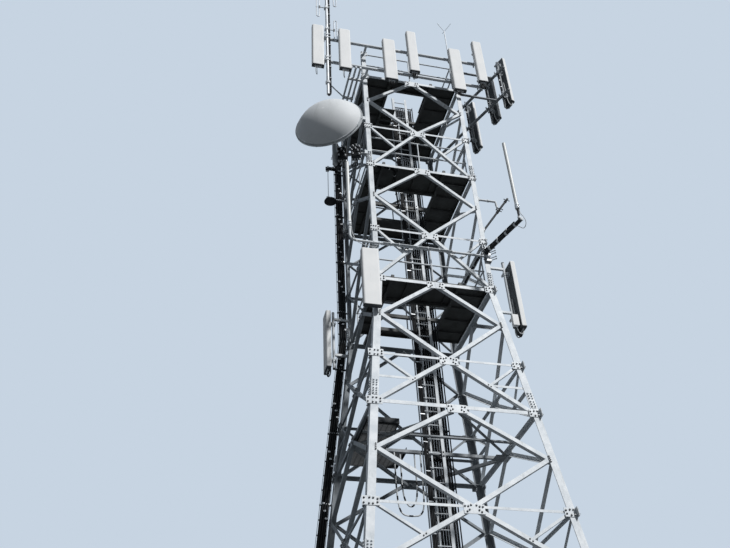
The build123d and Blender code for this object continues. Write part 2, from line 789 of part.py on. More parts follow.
def mast_bracket():
    """Three bars beside the front-left leg, two cross bars and the strut to the mast."""
    top = FRAME_Z[0] - FRAME_R
    low = top - BRACKET_BAR
    under = low - BRACKET_BAR
    pieces = []
    for x in BRACKET_X:
        pieces.append(box(x, x + BRACKET_BAR_W, BRACKET_Y[0], BRACKET_Y[1], low, top))
    y = -TOP_HALF + TOP_LEG_W / 2.0
    near, far = max(BRACKET_X) + BRACKET_BAR_W, min(BRACKET_X)
    pieces.append(box(far, -TOP_HALF, y - 25.0, y + 25.0, under, low))
    back = BRACKET_Y[1] - 3 * BRACKET_BAR
    pieces.append(box(far, near, back, back + BRACKET_BAR, under, low))
    collar = rod((MAST_X, MAST_Y, STRUT_Z - 35), (MAST_X, MAST_Y, STRUT_Z + 35), MAST_R + 22.0)
    end = Vector(far + BRACKET_BAR_W / 2.0, back + BRACKET_BAR / 2.0, under + BRACKET_BAR / 2.0)
    start = Vector(MAST_X, MAST_Y, STRUT_Z)
    start = start + (end - start).normalized() * (MAST_R + 12.0)
    pieces.append(rod(start, end, STRUT_R))
    pieces.append(collar)
    shaft = rod((MAST_X, MAST_Y, MAST_FOOT), (MAST_X, MAST_Y, FRAME_Z[1]), MAST_R)
    return joined(pieces).cut(shaft)


def whip():
    """Thin upright with three prongs at its top."""
    foot = FRAME_Z[1] + FRAME_R
    pieces = [rod((WHIP_X, FRAME_Y, foot), (WHIP_X, FRAME_Y, WHIP_TOP), WHIP_R)]
    for angle in (80.0, 200.0, 320.0):
        way = Vector(cos(radians(angle)), sin(radians(angle)), 1.0).normalized() * PRONG
        start = Vector(WHIP_X, FRAME_Y, WHIP_TOP - 10.0)
        pieces.append(rod(start, start + way, PRONG_R))
    return joined(pieces)


def clamp_x():
    """Distance of the boom's two clamp blocks from the tower's axis."""
    return TOP_HALF - TOP_LEG_W / 2.0


def front_boom():
    """Boom across the front above the lower platform, bent up at its left end."""
    route = [
        Vector(TOP_HALF - 10.0, BOOM_Y, BOOM_Z),
        Vector(BOOM_BEND_X, BOOM_Y, BOOM_Z),
        Vector(BOOM_BEND_X, BOOM_Y, LEFT_TUBE[0]),
    ]
    pieces = [bent_pipe(route, BOOM_R, BOOM_BEND_R)]
    c = BOOM_CLAMP
    for x in (-clamp_x(), clamp_x()):
        pieces.append(box(x - c, x + c, BOOM_Y, -TOP_HALF, BOOM_Z - c, BOOM_Z + c))
    return joined(pieces)


def right_boom():
    """Boom from the front-right leg out to the front, with a stub for its tube."""
    root = RIGHT_BOOM_ROOT
    tip = RIGHT_BOOM_TIP
    past = tip + (tip - root).normalized() * BOOM_PAST
    c = BOOM_CLAMP
    pieces = [rod(root, past, RIGHT_BOOM_R)]
    pieces.append(box(root.X - c, root.X + c, root.Y - 10, -TOP_HALF, root.Z - c, root.Z + c))
    pieces.append(rod(tip, Vector(tip.X, tip.Y, RIGHT_TUBE[0]), STUB_R))
    return joined(pieces)


def tube_antenna(x, y, foot, top):
    """Upright tube antenna with a collar at its foot."""
    waist = foot + TUBE_COLLAR_LONG
    pieces = [
        rod((x, y, foot), (x, y, waist), TUBE_R + TUBE_COLLAR),
        rod((x, y, waist), (x, y, top), TUBE_R),
    ]
    return joined(pieces)


def side_arm():
    """Short bent arm on the front-right leg and a slanting pipe below it."""
    y = -TOP_HALF + TOP_LEG_W / 2.0
    z = SIDE_ARM_Z
    x = TOP_HALF
    foot = z + SIDE_PIPE[0][1]
    ends = [Vector(x + dx, y, z + dz) for dx, dz in SIDE_PIPE]
    route = [Vector(x + PAD / 2, y, z), Vector(x + 424, y, z + 10), Vector(x + 452, y, z - 262)]
    pieces = [
        box(x, x + PAD, y - 35, y + 35, z - 40, z + 40),
        box(x, x + PAD, y - 35, y + 35, foot - 40, foot + 40),
        bent_pipe(route, SIDE_ARM_R, SIDE_ARM_BEND),
        rod(ends[0], ends[1], SIDE_PIPE_R),
    ]
    return joined(pieces)


def left_arms():
    """Two short arms on the back-left leg, joined by a thin upright at their ends."""
    y = LEFT_ARM_Y
    x = LEFT_ARM_X
    pieces = []
    for z in LEFT_ARM_Z:
        pieces.append(rod((-TOP_HALF, y, z), (x, y, z), ARM_R))
        pieces.append(box(x - 50, x + 30, y - 40, y + 40, z - 45, z + 45))
    pieces.append(rod((x, y, LEFT_ARM_Z[0]), (x, y, LEFT_ARM_Z[1]), 8.0))
    return joined(pieces)


def lower_panel_poles():
    """Poles and straight arms that hold the three lower panels to their legs."""
    c = ARM_HALF
    whole = []
    for x, y, angle, width, low, high, gap in LOWER_PANELS.values():
        low += KINK_Z
        high += KINK_Z
        pieces = [rod((x, y, low + 60.0), (x, y, high + 60.0), POLE_R)]
        for z in (low + 420.0, high - 120.0):
            w = half_width(z - c)
            if angle == 0.0:
                pieces.append(box(x, -w + 60.0, y - c, y + c, z - c, z + c))
                pieces.append(box(-w + 10.0, -w + 60.0, y, -w, z - c, z + c))
            elif x > 0:
                pieces.append(box(w, x, y - c, y + c, z - c, z + c))
            else:
                pieces.append(box(x, -w, y - c, y + c, z - c, z + c))
        whole.append(joined(pieces))
    return Compound(children=whole)


def tube_feeds():
    """Loose cables from the feet of the two tube antennas back to their booms."""
    off = BOOM_R + JUMPER_R + 3.0
    x, y, z = BOOM_BEND_X, BOOM_Y, LEFT_TUBE[0]
    foot = BOOM_Z - BOOM_CLAMP
    end = -clamp_x()
    left = [
        (x + off, y, z),
        (x + off, y, z - 120),
        (x + 52, y - 54, z - 265),
        (x + 92, y - 60, BOOM_Z - 45),
        (x + 190, y - 34, BOOM_Z - 92),
        (x + 320, y - 4, BOOM_Z - 105),
        (x + 450, y + 12, BOOM_Z - 100),
        (end + 4, y + 25, foot - 62),
        (end + 4, y + 25, foot),
    ]
    along = (RIGHT_BOOM_TIP - RIGHT_BOOM_ROOT).normalized()
    side = Vector(-along.Y, along.X, 0.0)
    tip = RIGHT_BOOM_TIP
    rest = tip - along * 150.0 + side * RIGHT_BOOM_R
    off = STUB_R + JUMPER_R + 3.0
    x, y, z = tip.X, tip.Y, RIGHT_TUBE[0]
    right = [
        (x + off, y, z),
        (x + off, y, z - 100),
        (x + 88, y - 16, z - 200),
        (x + 132, y - 6, z - 310),
        (x + 128, y + 36, tip.Z - 88),
        (x + 106, y + 96, tip.Z - 110),
        (x + 96, y + 150, tip.Z - 55),
        rest + side * 60.0,
        rest,
    ]
    for route in (left, right):
        print([tuple(round(value, 1) for value in Vector(*point)) for point in route])
    return cord(left, JUMPER_R), cord(right, JUMPER_R)


def panel_jumper(distance, low):
    """Loose cable from a front panel's lower end up to the foot of its pole."""
    x = FRAME_LEFT + distance
    z = FRAME_Z[0] + low
    foot = min(z + POLE_SHORT, FRAME_Z[0] - POLE_PAST)
    y = POLE_Y - POLE_R - BRACKET_DEEP - PANEL_DEEP / 2.0
    points = [
        (x - 60, y, z),
        (x - 60, y, z - 100),
        (x - 44, y + 40, z - 190),
        (x - 12, y + 100, z - 200),
        (x + 6, POLE_Y - 6, z - 120),
        (x, POLE_Y, z - 10),
        (x, POLE_Y, foot),
    ]
    return cord(points, JUMPER_R)


def hanging_loop(x0, x1, drop, y):
    """Slack cable that hangs in a U below the beam at the third bay's top."""
    z = 3.0 * KINK_Z / LOWER_BAYS - BEAM_DROP
    low = z - drop
    points = [
        (x0, y, z),
        (x0, y, z - drop * 0.31),
        (x0 - 2, y + 3, z - drop * 0.61),
        (x0 + 18, y - 2, low + 150),
        (x0 + 90, y + 2, low + 15),
        ((x0 + x1) / 2.0, y - 2, low),
        (x1 - 90, y + 2, low + 20),
        (x1 - 16, y - 2, low + 160),
        (x1 + 4, y + 3, z - drop * 0.61),
        (x1, y, z - drop * 0.31),
        (x1, y, z),
    ]
    return cord(points, LOOP_R)


def build_lattice():
    """Four equal faces and four legs, each turned from the front-left corner."""
    low = lower_face()
    high = upper_face()
    corner = leg()
    for quarter, name in enumerate(("front", "right", "back", "left")):
        write("lattice_lower_" + name, turned(low, quarter))
        write("lattice_upper_" + name, turned(high, quarter))
    for quarter, name in enumerate(("front_left", "front_right", "back_right")):
        write("leg_" + name, turned(corner, quarter))
    write("leg_back_left", joined([turned(corner, 3)] + run_brackets()))
    write("leg_cables", leg_cables())


def build_inside():
    """Platforms, rails, beams and ladders inside the four faces."""
    a = FLOOR_HALF
    write("platform_lower", platform(KINK_Z, WIDE_OPENING, WIDE_JOISTS, a - SHORT_BACK))
    write("platform_middle", platform(MIDDLE_Z, WIDE_OPENING, WIDE_JOISTS, a))
    write("platform_top", platform(TOP_Z, TOP_OPENINGS, TOP_JOISTS, a))
    write("handrail_lower", railing(KINK_Z, a - SHORT_BACK))
    write("handrail_middle", railing(MIDDLE_Z, a))
    write("handrail_top", railing(TOP_Z, a))
    step = KINK_Z / LOWER_BAYS
    for k, name in enumerate(("low", "middle", "high")):
        write("plan_bracing_" + name, plan_bracing((k + 1) * step))
    write("landing", landing())
    write("cable_ladder", cable_ladder())
    write("feeder_cables", feeder_cables())
    write("climbing_ladder", climbing_ladder())
    write("hanging_cable_outer", hanging_loop(-720.0, -210.0, 1250.0, BEAM_Y + 20.0))
    write("hanging_cable_inner", hanging_loop(-600.0, -320.0, 1060.0, BEAM_Y + 44.0))


def build_panels():
    """Panel antennas on the two frames and on the legs, with the loose panel cables."""
    write("frame_front", front_frame())
    write("frame_right", side_frame())
    for k, (distance, width, low, high) in enumerate(FRONT_PANELS):
        pole = Vector(front_x(distance), POLE_Y, 0)
        shape = panel(pole, 0.0, width, FRAME_Z[0] + low, FRAME_Z[0] + high, BRACKET_DEEP)
        write("panel_front_%d" % (k + 1), shape)
    out = side_axes()[1]
    turn = 90.0 + degrees(atan2(out.Y, out.X))
    for k, (distance, width, low, high) in enumerate(SIDE_PANELS):
        low += FRAME_Z[0]
        high += FRAME_Z[0]
        shape = panel(side_pole(distance), turn, width, low, high, BRACKET_DEEP)
        write("panel_side_%d" % (k + 1), shape)
    for name, (x, y, angle, width, low, high, gap) in LOWER_PANELS.items():
        write(name, panel(Vector(x, y, 0), angle, width, KINK_Z + low, KINK_Z + high, gap))
    write("lower_panel_poles", lower_panel_poles())
    for k, (distance, width, low, high) in enumerate(FRONT_PANELS[:2]):
        write("panel_cable_%d" % (k + 1), panel_jumper(distance, low))


def build_antennas():
    """Dish, mast, whip and tube antennas with what carries them."""
    write("dish_radome", dish_radome())
    write("dish_drum", dish_shroud())
    write("dish_mount", dish_mount())
    write("dipole_mast", dipole_mast())
    write("mast_bracket", mast_bracket())
    write("whip_antenna", whip())
    write("boom_front", front_boom())
    write("boom_right", right_boom())
    write("tube_antenna_left", tube_antenna(BOOM_BEND_X, BOOM_Y, *LEFT_TUBE))
    write("tube_antenna_right", tube_antenna(RIGHT_BOOM_TIP.X, RIGHT_BOOM_TIP.Y, *RIGHT_TUBE))
    left, right = tube_feeds()
    write("tube_cable_left", left)
    write("tube_cable_right", right)
    write("arm_right", side_arm())
    write("arms_left", left_arms())


os.makedirs("parts", exist_ok=True)
build_lattice()
build_inside()
build_panels()
build_antennas()
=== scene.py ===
# %% [markdown]
# # Dressing a lattice communications tower
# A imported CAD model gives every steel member, panel and platform its true place, in
# metres, with the origin on the ground between the four feet. This lesson keeps that
# frame as it is and adds what CAD leaves plain: real finishes, the moulded covers of
# the antennas, clamps, bolts, gratings and cables. Sizes here are in millimetres, as on
# a drawing, and turn into metres only where Blender takes them. The camera's place is
# in metres, as Blender has it.

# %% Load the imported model
import math
from collections import namedtuple
import bpy
import numpy as np
from mathutils import Matrix, Vector


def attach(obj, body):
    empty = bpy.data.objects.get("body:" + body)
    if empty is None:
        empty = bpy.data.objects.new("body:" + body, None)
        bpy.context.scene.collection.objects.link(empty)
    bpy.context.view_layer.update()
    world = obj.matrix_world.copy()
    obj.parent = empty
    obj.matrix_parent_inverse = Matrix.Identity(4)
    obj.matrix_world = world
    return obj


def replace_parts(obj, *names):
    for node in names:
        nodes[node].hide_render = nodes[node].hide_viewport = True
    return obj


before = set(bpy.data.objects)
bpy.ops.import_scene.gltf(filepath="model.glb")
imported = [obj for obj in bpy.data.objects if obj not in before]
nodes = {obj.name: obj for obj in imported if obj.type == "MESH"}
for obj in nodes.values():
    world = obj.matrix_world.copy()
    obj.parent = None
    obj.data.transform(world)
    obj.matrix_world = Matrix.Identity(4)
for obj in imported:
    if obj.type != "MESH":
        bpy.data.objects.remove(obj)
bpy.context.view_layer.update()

# %% [markdown]
# ## The camera
# The photograph looks up at the tower from the ground, from the front and a little to
# the left. Its place and lens were fitted to the corners of the lattice, so the three
# angles and the eye's place are plain numbers. A matrix built from the view's own
# axes keeps the small roll of a camera held by hand.

# %% Camera
EYE = (-4.867, -13.763, 1.555)
SEEN_TO = 400.0
YAW, PITCH, ROLL = (math.radians(angle) for angle in (15.23, 38.93, 3.04))
LENS_MM = 41.6
SENSOR_MM = 36.0


def view_axes(yaw, pitch, roll):
    """Right, up and backward axes: +Y turned by yaw, raised by pitch, then rolled."""
    ahead = Vector((
        math.sin(yaw) * math.cos(pitch), math.cos(yaw) * math.cos(pitch), math.sin(pitch),
    ))
    right = Vector((math.cos(yaw), -math.sin(yaw), 0.0))
    down = ahead.cross(right)
    level = right * math.cos(roll) + down * math.sin(roll)
    plumb = -right * math.sin(roll) + down * math.cos(roll)
    return level, -plumb, -ahead


camera_data = bpy.data.cameras.new("camera")
camera_data.lens = LENS_MM
camera_data.sensor_width = SENSOR_MM
camera_data.clip_end = SEEN_TO
camera = bpy.data.objects.new("camera", camera_data)
bpy.context.scene.collection.objects.link(camera)
turn = Matrix(view_axes(YAW, PITCH, ROLL)).transposed().to_4x4()
camera.matrix_world = Matrix.Translation(EYE) @ turn
bpy.context.scene.camera = camera
print("camera at", EYE, "lens", LENS_MM, "mm")

# %% [markdown]
# ## Colours and nodes
# Paint charts give colours as sRGB hex values, and a shader wants linear light, so one
# function turns the one into the other. Another adds a node with its settings and
# links, which keeps each material short enough to read as a recipe.

# %% Colour and node helpers
def linear(code):
    """Linear colour from an sRGB hex value: x/12.92 near black, a 2.4 power above."""
    shares = [int(code[k:k + 2], 16) / 255.0 for k in (0, 2, 4)]
    return [s / 12.92 if s <= 0.04045 else ((s + 0.055) / 1.055) ** 2.4 for s in shares] + [1.0]


def add(tree, kind, inputs=None, **settings):
    """Adds one node, gives it its settings, and fills its inputs with values or links."""
    made = tree.nodes.new("ShaderNode" + kind)
    for name, value in settings.items():
        setattr(made, name, value)
    for name, value in (inputs or {}).items():
        if isinstance(value, bpy.types.NodeSocket):
            tree.links.new(value, made.inputs[name])
        else:
            made.inputs[name].default_value = value
    return made


print("zinc grey in linear light:", np.round(linear("B4B9BC"), 3).tolist())

# %% [markdown]
# ## Weathered finishes
# Outdoor metal and plastic share a habit: a body colour that drifts in soft patches,
# marks that run downwards with the rain, and a fine grain that breaks up the gloss.
# One recipe makes all three from sizes in millimetres, and each finish then names
# its own colours, grain and shine. All noise is read in the object's own coordinates,
# so a mark stays on its piece and has the same size on every piece. Real grain is a
# millimetre or less on most of these surfaces, too fine to show on a whole tower, so
# it is drawn as coarse as it needs to be to show.

# %% Recipe for a weathered surface
def weathered(name, colours, patch_mm, grain_mm, rough, metallic=0.0, marks=0.5, stretch=0.2,
              relief_mm=0.3, sheen=0.5):
    """Material with patches, downward marks and grain. The colours are the pale body, the
    darker body and the marks. Patches mix the first two by noise, marks are noise drawn out
    along Z and cut off below a level, and the grain drives the gloss and the bump."""
    pale, dark, mark = (linear(code) for code in colours)
    made = bpy.data.materials.new(name)
    made.use_nodes = True
    tree = made.node_tree
    tree.nodes.clear()
    place = add(tree, "TexCoord").outputs["Object"]
    patch = add(tree, "TexNoise", {
        "Vector": place, "Scale": 1000.0 / patch_mm, "Detail": 6.0, "Roughness": 0.62,
    }).outputs[0]
    share = add(tree, "MapRange", {"Value": patch, "From Min": 0.36, "From Max": 0.64}).outputs[0]
    body = add(tree, "Mix", {0: share, 6: pale, 7: dark}, data_type="RGBA").outputs[2]
    run = add(tree, "Mapping", {"Vector": place, "Scale": (1.0, 1.0, stretch)}).outputs[0]
    drip = add(tree, "TexNoise", {
        "Vector": run, "Scale": 2600.0 / patch_mm, "Detail": 5.0, "Roughness": 0.7,
    }).outputs[0]
    seen = add(tree, "MapRange", {
        "Value": drip, "From Min": 0.56, "From Max": 0.74, "To Max": marks,
    }).outputs[0]
    colour = add(tree, "Mix", {0: seen, 6: body, 7: mark}, data_type="RGBA").outputs[2]
    grain = add(tree, "TexNoise", {
        "Vector": place, "Scale": 1000.0 / grain_mm, "Detail": 3.0,
    }).outputs[0]
    gloss = add(tree, "MapRange", {
        "Value": grain, "To Min": rough - 0.08, "To Max": rough + 0.1,
    }).outputs[0]
    relief = add(tree, "Bump", {
        "Height": grain, "Distance": relief_mm / 1000.0, "Strength": 0.6,
    }).outputs[0]
    shader = add(tree, "BsdfPrincipled", {
        "Base Color": colour, "Metallic": metallic, "Roughness": gloss, "Normal": relief,
        "Specular IOR Level": sheen,
    })
    add(tree, "OutputMaterial", {"Surface": shader.outputs[0]})
    print("finish:", name)
    return made


# %% [markdown]
# ## The finishes on this tower
# The members are structural steel dipped in molten zinc. New zinc is bright, and years
# of rain leave it a matt pale grey with chalky patches. The covers are moulded glass
# fibre and hard plastic, and the cables wear black polyethylene that greys with dust.

# %% Finishes of the steel
# Hot-dip galvanised steel: chalky zinc salts cover most of the metal, so it hardly shines.
galvanised = weathered(
    "galvanised_steel", ("DADEE1", "C3C9CE", "94989A"), 240.0, 26.0, 0.6, metallic=0.08, sheen=0.3)
# Painted shade: zinc made dull and darker for the plan bracing inside the tower and
# the right frame, which stand in shade.
inner_shade_zinc = weathered(
    "painted_shade_inner_galvanised_steel", ("8F9498", "777C80", "57544F"), 200.0, 22.0, 0.62,
    metallic=0.15, marks=0.6)
# Painted shade: zinc made darker for the back and left faces of the lattice and the
# back legs, the sides turned from the key light.
shade_side_zinc = weathered(
    "painted_shade_side_galvanised_steel", ("9DA3A8", "858B90", "5F625F"), 230.0, 24.0, 0.66,
    metallic=0.05, marks=0.6, sheen=0.25)
# Zinc on rolled plate underfoot is scuffed and dirty, and collects a brown film. Its
# dark body is also painted shade for the platforms, which are seen from below.
floor_plate_dirt_and_shade = weathered(
    "galvanised_floor_plate_dirt_and_painted_shade", ("4E504F", "3C3D3C", "35302A"), 320.0, 18.0, 0.65,
    metallic=0.15, marks=0.7, stretch=1.0)
# Electroplated fasteners: a darker grey than the members, rusting a little at the edges.
fastener = weathered(
    "plated_bolt_steel", ("83868A", "5E605F", "6B4F38"), 40.0, 6.0, 0.45,
    metallic=0.6, marks=0.6, stretch=1.0)
# Stainless clamps stay the brightest metal on the tower.
stainless = weathered(
    "stainless_clamp_steel", ("D6D8D9", "BABDBF", "969693"), 60.0, 5.0, 0.42,
    metallic=0.5, marks=0.4)
# Thick dark paint over steel: nearly black, chalked pale along worn places. On the
# cable ladder, the landing's grating, the run's tray and the small antennas this
# near-black is painted shade.
dark_paint_and_shade = weathered(
    "bitumen_painted_steel", ("303336", "24272A", "6C6E6F"), 110.0, 9.0, 0.6,
    marks=0.45, stretch=0.5, sheen=0.2)

# %% [markdown]
# ## Finishes of the antennas and cables
# Glass fibre, plastic, coated cloth and aluminium all weather more evenly than steel, so
# their two body colours lie close together and their marks are faint. The same recipe
# serves, with a finer grain and a flatter relief.

# %% Finishes of the antennas and cables
# Gel-coated glass fibre: even off-white with faint rain marks and a soft gloss.
radome = weathered(
    "glass_fibre_panel_shell", ("F3F4F4", "EBEDEE", "CFD2CF"), 420.0, 9.0, 0.62,
    stretch=0.08, relief_mm=0.1, sheen=0.2)
# Folded aluminium reflector that closes a panel's back, coated a matt dark grey, which
# is partly painted shade on backs that face away from the light.
back_plate_and_shade = weathered(
    "coated_reflector_aluminium_and_painted_shade", ("5B6064", "4C5154", "3C3F41"), 300.0, 8.0, 0.6,
    relief_mm=0.1, sheen=0.3)
# Moulded plastic end caps: dark grey with a fine spark-eroded texture. Under the
# panels this dark grey is partly painted shade.
cap_plastic_and_shade = weathered(
    "moulded_cap_plastic_and_painted_shade", ("4A4E51", "3A3D40", "5C5E5C"), 120.0, 3.0, 0.55,
    marks=0.3, stretch=1.0, relief_mm=0.1)
# Stretched coated fabric on the dish: pale, matt, with a woven grain.
dish_skin = weathered(
    "coated_dish_fabric", ("DDE0E2", "D2D6D9", "B4B8B8"), 600.0, 12.0, 0.62,
    stretch=0.15, relief_mm=0.2)
# Spun and painted aluminium: white paint with a soft sheen.
dish_paint = weathered(
    "painted_spun_aluminium", ("D4D8DA", "C2C7CA", "9EA09C"), 350.0, 10.0, 0.4)
# Glass-fibre tube: pulled fibres leave a long fine grain under a white gel coat.
tube_skin = weathered(
    "pulled_glass_fibre_tube", ("E2E4E3", "D2D5D4", "B0B2AE"), 260.0, 8.0, 0.4,
    stretch=0.05, relief_mm=0.1)
# Drawn aluminium tube: soft metal sheen that has gone slightly grey.
aluminium = weathered(
    "drawn_aluminium_tube", ("C2C4C6", "A6A9AC", "868785"), 150.0, 7.0, 0.52, metallic=0.5)
# Polyethylene cable jacket: black, waxy, with grey dust on it.
jacket = weathered(
    "polyethylene_cable_jacket", ("18191B", "232426", "4A4944"), 180.0, 8.0, 0.6,
    marks=0.3, stretch=0.3, relief_mm=0.2, sheen=0.15)
# Grey plastic jacket of the thin loose cables: pale and matt, dirtier where dust settles.
pale_jacket = weathered(
    "grey_vinyl_cable_jacket", ("D2D5D6", "B9BDBF", "82827E"), 90.0, 6.0, 0.5,
    stretch=0.3, relief_mm=0.1)

# %% [markdown]
# ## Finishes on the CAD nodes
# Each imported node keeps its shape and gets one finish. Node names begin with what the
# piece is, so a table of beginnings picks the finish, and the last row takes the rest.

# %% Finishes by name
FINISH_BY_START = [
    ("leg_cables", jacket), ("feeder_cables", jacket), ("panel_cable", jacket),
    # Painted shade: the cable ladder takes the near-black paint.
    ("tube_cable", jacket), ("hanging_cable", jacket), ("cable_ladder", dark_paint_and_shade),
    # Painted shade: the plan bracing and the right frame take darkened zinc.
    ("boom_right", dark_paint_and_shade), ("plan_bracing", inner_shade_zinc), ("frame_right", inner_shade_zinc),
    # Painted shade: the back and left faces and the back legs take darkened zinc.
    ("lattice_lower_back", shade_side_zinc), ("lattice_lower_left", shade_side_zinc),
    ("lattice_upper_back", shade_side_zinc), ("lattice_upper_left", shade_side_zinc), ("leg_back", shade_side_zinc),
    ("panel_", radome), ("dish_radome", dish_skin), ("dish_drum", dish_paint),
    ("tube_antenna", tube_skin), ("dipole_mast", aluminium), ("whip_antenna", aluminium),
    # Painted shade, with real dirt: the platforms take the dark floor plate.
    ("platform", floor_plate_dirt_and_shade), ("landing", floor_plate_dirt_and_shade), ("", galvanised),
]
for name, node in nodes.items():
    finish = next(made for start, made in FINISH_BY_START if name.startswith(start))
    node.data.materials.clear()
    node.data.materials.append(finish)
print("finished", len(nodes), "CAD nodes")

# %% [markdown]
# ## Cables that hang free
# A few cables on the tower hang in slack curves: the tails under two panels, the tails
# of the two tube antennas and a slack pair under a beam. Each is one smooth spline
# whose control points are the points of the cable's route, so it bends as one piece
# of cable does, and a round bevel gives it its jacket.

# %% Free cables
JUMPER_MM, LOOP_MM = 14.0, 28.0


def route_curve(name, route_mm, steps):
    """Curve with one open quadratic spline that has the route's points as control points."""
    curve = bpy.data.curves.new(name, "CURVE")
    curve.dimensions = "3D"
    curve.resolution_u = steps
    spline = curve.splines.new("NURBS")
    spline.points.add(len(route_mm) - 1)
    points = np.ones((len(route_mm), 4))
    points[:, :3] = np.array(route_mm) / 1000.0
    spline.points.foreach_set("co", points.ravel())
    spline.order_u = 3
    spline.use_endpoint_u = True
    return curve


def free_cable(name, route_mm, thick_mm):
    """The route's curve as a cable: a round bevel of half its thickness, closed at the ends."""
    curve = route_curve(name, route_mm, 10)
    curve.bevel_depth = thick_mm / 2000.0
    curve.bevel_resolution = 4
    curve.use_fill_caps = True
    curve.materials.append(pale_jacket)
    made = bpy.data.objects.new(name, curve)
    bpy.context.scene.collection.objects.link(made)
    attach(made, "root")
    return made


print("a free cable is", JUMPER_MM, "or", LOOP_MM, "mm thick")

# %% [markdown]
# ## Routes of the free cables
# A route is a few control points: straight out of the fitting, down under its own weight,
# round a bend wide enough for its thickness and up to where it is held. Each length is
# measured along the curve, listed with its cable, and printed.

# %% Routes and lengths
BEAM_UNDER = 8890.0


def panel_tail(x, z):
    """Route of a panel's tail: down from a connector, back and up into the pole's foot."""
    return [
        (x - 60, -1709, z), (x - 60, -1709, z - 100), (x - 44, -1669, z - 190),
        (x - 12, -1609, z - 200), (x + 6, -1570, z - 120), (x, -1564, z - 10), (x, -1564, z + 150),
    ]


def slack_loop(x0, x1, drop, y):
    """Route of a slack cable: down, round a wide foot and up again, under the beam."""
    z, low = BEAM_UNDER, BEAM_UNDER - drop
    return [
        (x0, y, z), (x0, y, z - drop * 0.31), (x0 - 2, y + 3, z - drop * 0.61),
        (x0 + 18, y - 2, low + 150), (x0 + 90, y + 2, low + 15), ((x0 + x1) / 2, y - 2, low),
        (x1 - 90, y + 2, low + 20), (x1 - 16, y - 2, low + 160), (x1 + 4, y + 3, z - drop * 0.61),
        (x1, y, z - drop * 0.31), (x1, y, z),
    ]


LEFT_TAIL = [
    (-1711, -1300, 13223), (-1711, -1300, 13103), (-1695, -1354, 12958), (-1655, -1360, 12805),
    (-1557, -1334, 12758), (-1427, -1304, 12745), (-1297, -1288, 12750), (-1194, -1275, 12743),
    (-1194, -1275, 12805),
]
RIGHT_TAIL = [
    (1560, -2380, 13270), (1560, -2380, 13170), (1614, -2396, 13070), (1658, -2386, 12960),
    (1654, -2344, 12872), (1632, -2284, 12850), (1622, -2230, 12905), (1578.8, -2206.5, 12960),
    (1521.5, -2224.3, 12960),
]
# Each free cable by name, route, thickness in mm and length in metres
FREE_CABLES = [
    ("tube_cable_left", LEFT_TAIL, JUMPER_MM, 0.940),
    ("tube_cable_right", RIGHT_TAIL, JUMPER_MM, 0.681),
    ("panel_cable_1", panel_tail(-2453, 17790), JUMPER_MM, 0.610),
    ("panel_cable_2", panel_tail(-1792, 17830), JUMPER_MM, 0.610),
    ("hanging_cable_outer", slack_loop(-720, -210, 1250, 70), LOOP_MM, 2.802),
    ("hanging_cable_inner", slack_loop(-600, -320, 1060, 94), LOOP_MM, 2.214),
]
for name, route, thick, long in FREE_CABLES:
    cable = free_cable(name + "_free", route, thick)
    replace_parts(cable, name)
    print(name, "length", long, "m")

# %% [markdown]
# ## Surfaces from numbers
# Plates, bolts, clamps and caps repeat by the hundred on a tower. Modelling each by hand
# would take days, and an array modifier can't follow a sloping face, so each shape is
# worked out once as rows of points and then copied by whole arrays. A shape here is a
# pair: its points in millimetres, and blocks of faces with one number of corners each.

# %% Rings, outlines and closed surfaces
def ring(sides, first=0.0):
    """Unit circle as equal steps of angle: cosine across, sine along, turning left."""
    angle = first + np.arange(sides) * 2.0 * math.pi / sides
    return np.stack([np.cos(angle), np.sin(angle)], axis=-1)


def oblong(wide, deep, ease):
    """Rectangle about the centre with its corners cut by `ease`, turning left."""
    a, b = wide / 2.0, deep / 2.0
    return np.array([
        (a, -b + ease), (a, b - ease), (a - ease, b), (-a + ease, b),
        (-a, b - ease), (-a, -b + ease), (-a + ease, -b), (a - ease, -b),
    ])


def wrapped(grid, closed=False):
    """Surface over rows of rings: quads join each row to the next, and either flat faces fill
    the first and last rings or the last row joins the first. Rings turn left about the way
    the rows go, so every face points outwards."""
    rows, sides = grid.shape[:2]
    index = np.arange(rows * sides).reshape(rows, sides)
    near = index if closed else index[:-1]
    far = np.roll(index, -1, axis=0) if closed else index[1:]
    quads = np.stack([near, np.roll(near, -1, axis=1), np.roll(far, -1, axis=1), far], axis=-1)
    caps = [] if closed else [index[:1, ::-1], index[-1:]]
    return grid.reshape(-1, 3), [quads.reshape(-1, 4)] + caps


def stacked(outline, rows):
    """Upright form: the outline times each row's size, lifted to that row's height."""
    size, height = np.array(rows, float).T
    grid = np.zeros((len(size), len(outline), 3))
    grid[..., :2] = size[:, None, None] * outline
    grid[..., 2] = height[:, None]
    return wrapped(grid)


def block(x0, x1, y0, y1, z0, z1, ease=2.0):
    """Bar or plate between two corners with eased edges: an oblong, drawn in a little at
    its lowest and highest rows."""
    wide, deep, tall = x1 - x0, y1 - y0, z1 - z0
    drawn = 1.0 - 2.0 * ease / max(wide, deep)
    rows = [(drawn, 0.0), (1.0, ease), (1.0, tall - ease), (drawn, tall)]
    points, faces = stacked(oblong(wide, deep, ease), rows)
    return points + ((x0 + x1) / 2.0, (y0 + y1) / 2.0, z0), faces


def swept(corners, run):
    """Flat plate on corners that turn left about the run, carried straight along it."""
    first = np.array(corners, float)
    return wrapped(np.stack([first, first + run]))


print("a bolt's hexagon:", np.round(ring(6), 2).tolist())

# %% [markdown]
# ## Placing copies
# A copy needs a spot and a turn. Keeping the turns of all the copies in one array lets
# numpy place a thousand bolts in one product. The helper that makes the turns takes the
# way a shape should face and a rough second axis, and squares the second to the first.

# %% Turns and spots
def unit(vectors):
    """Vectors divided by their own lengths."""
    vectors = np.atleast_2d(np.array(vectors, float))
    return vectors / np.linalg.norm(vectors, axis=-1, keepdims=True)


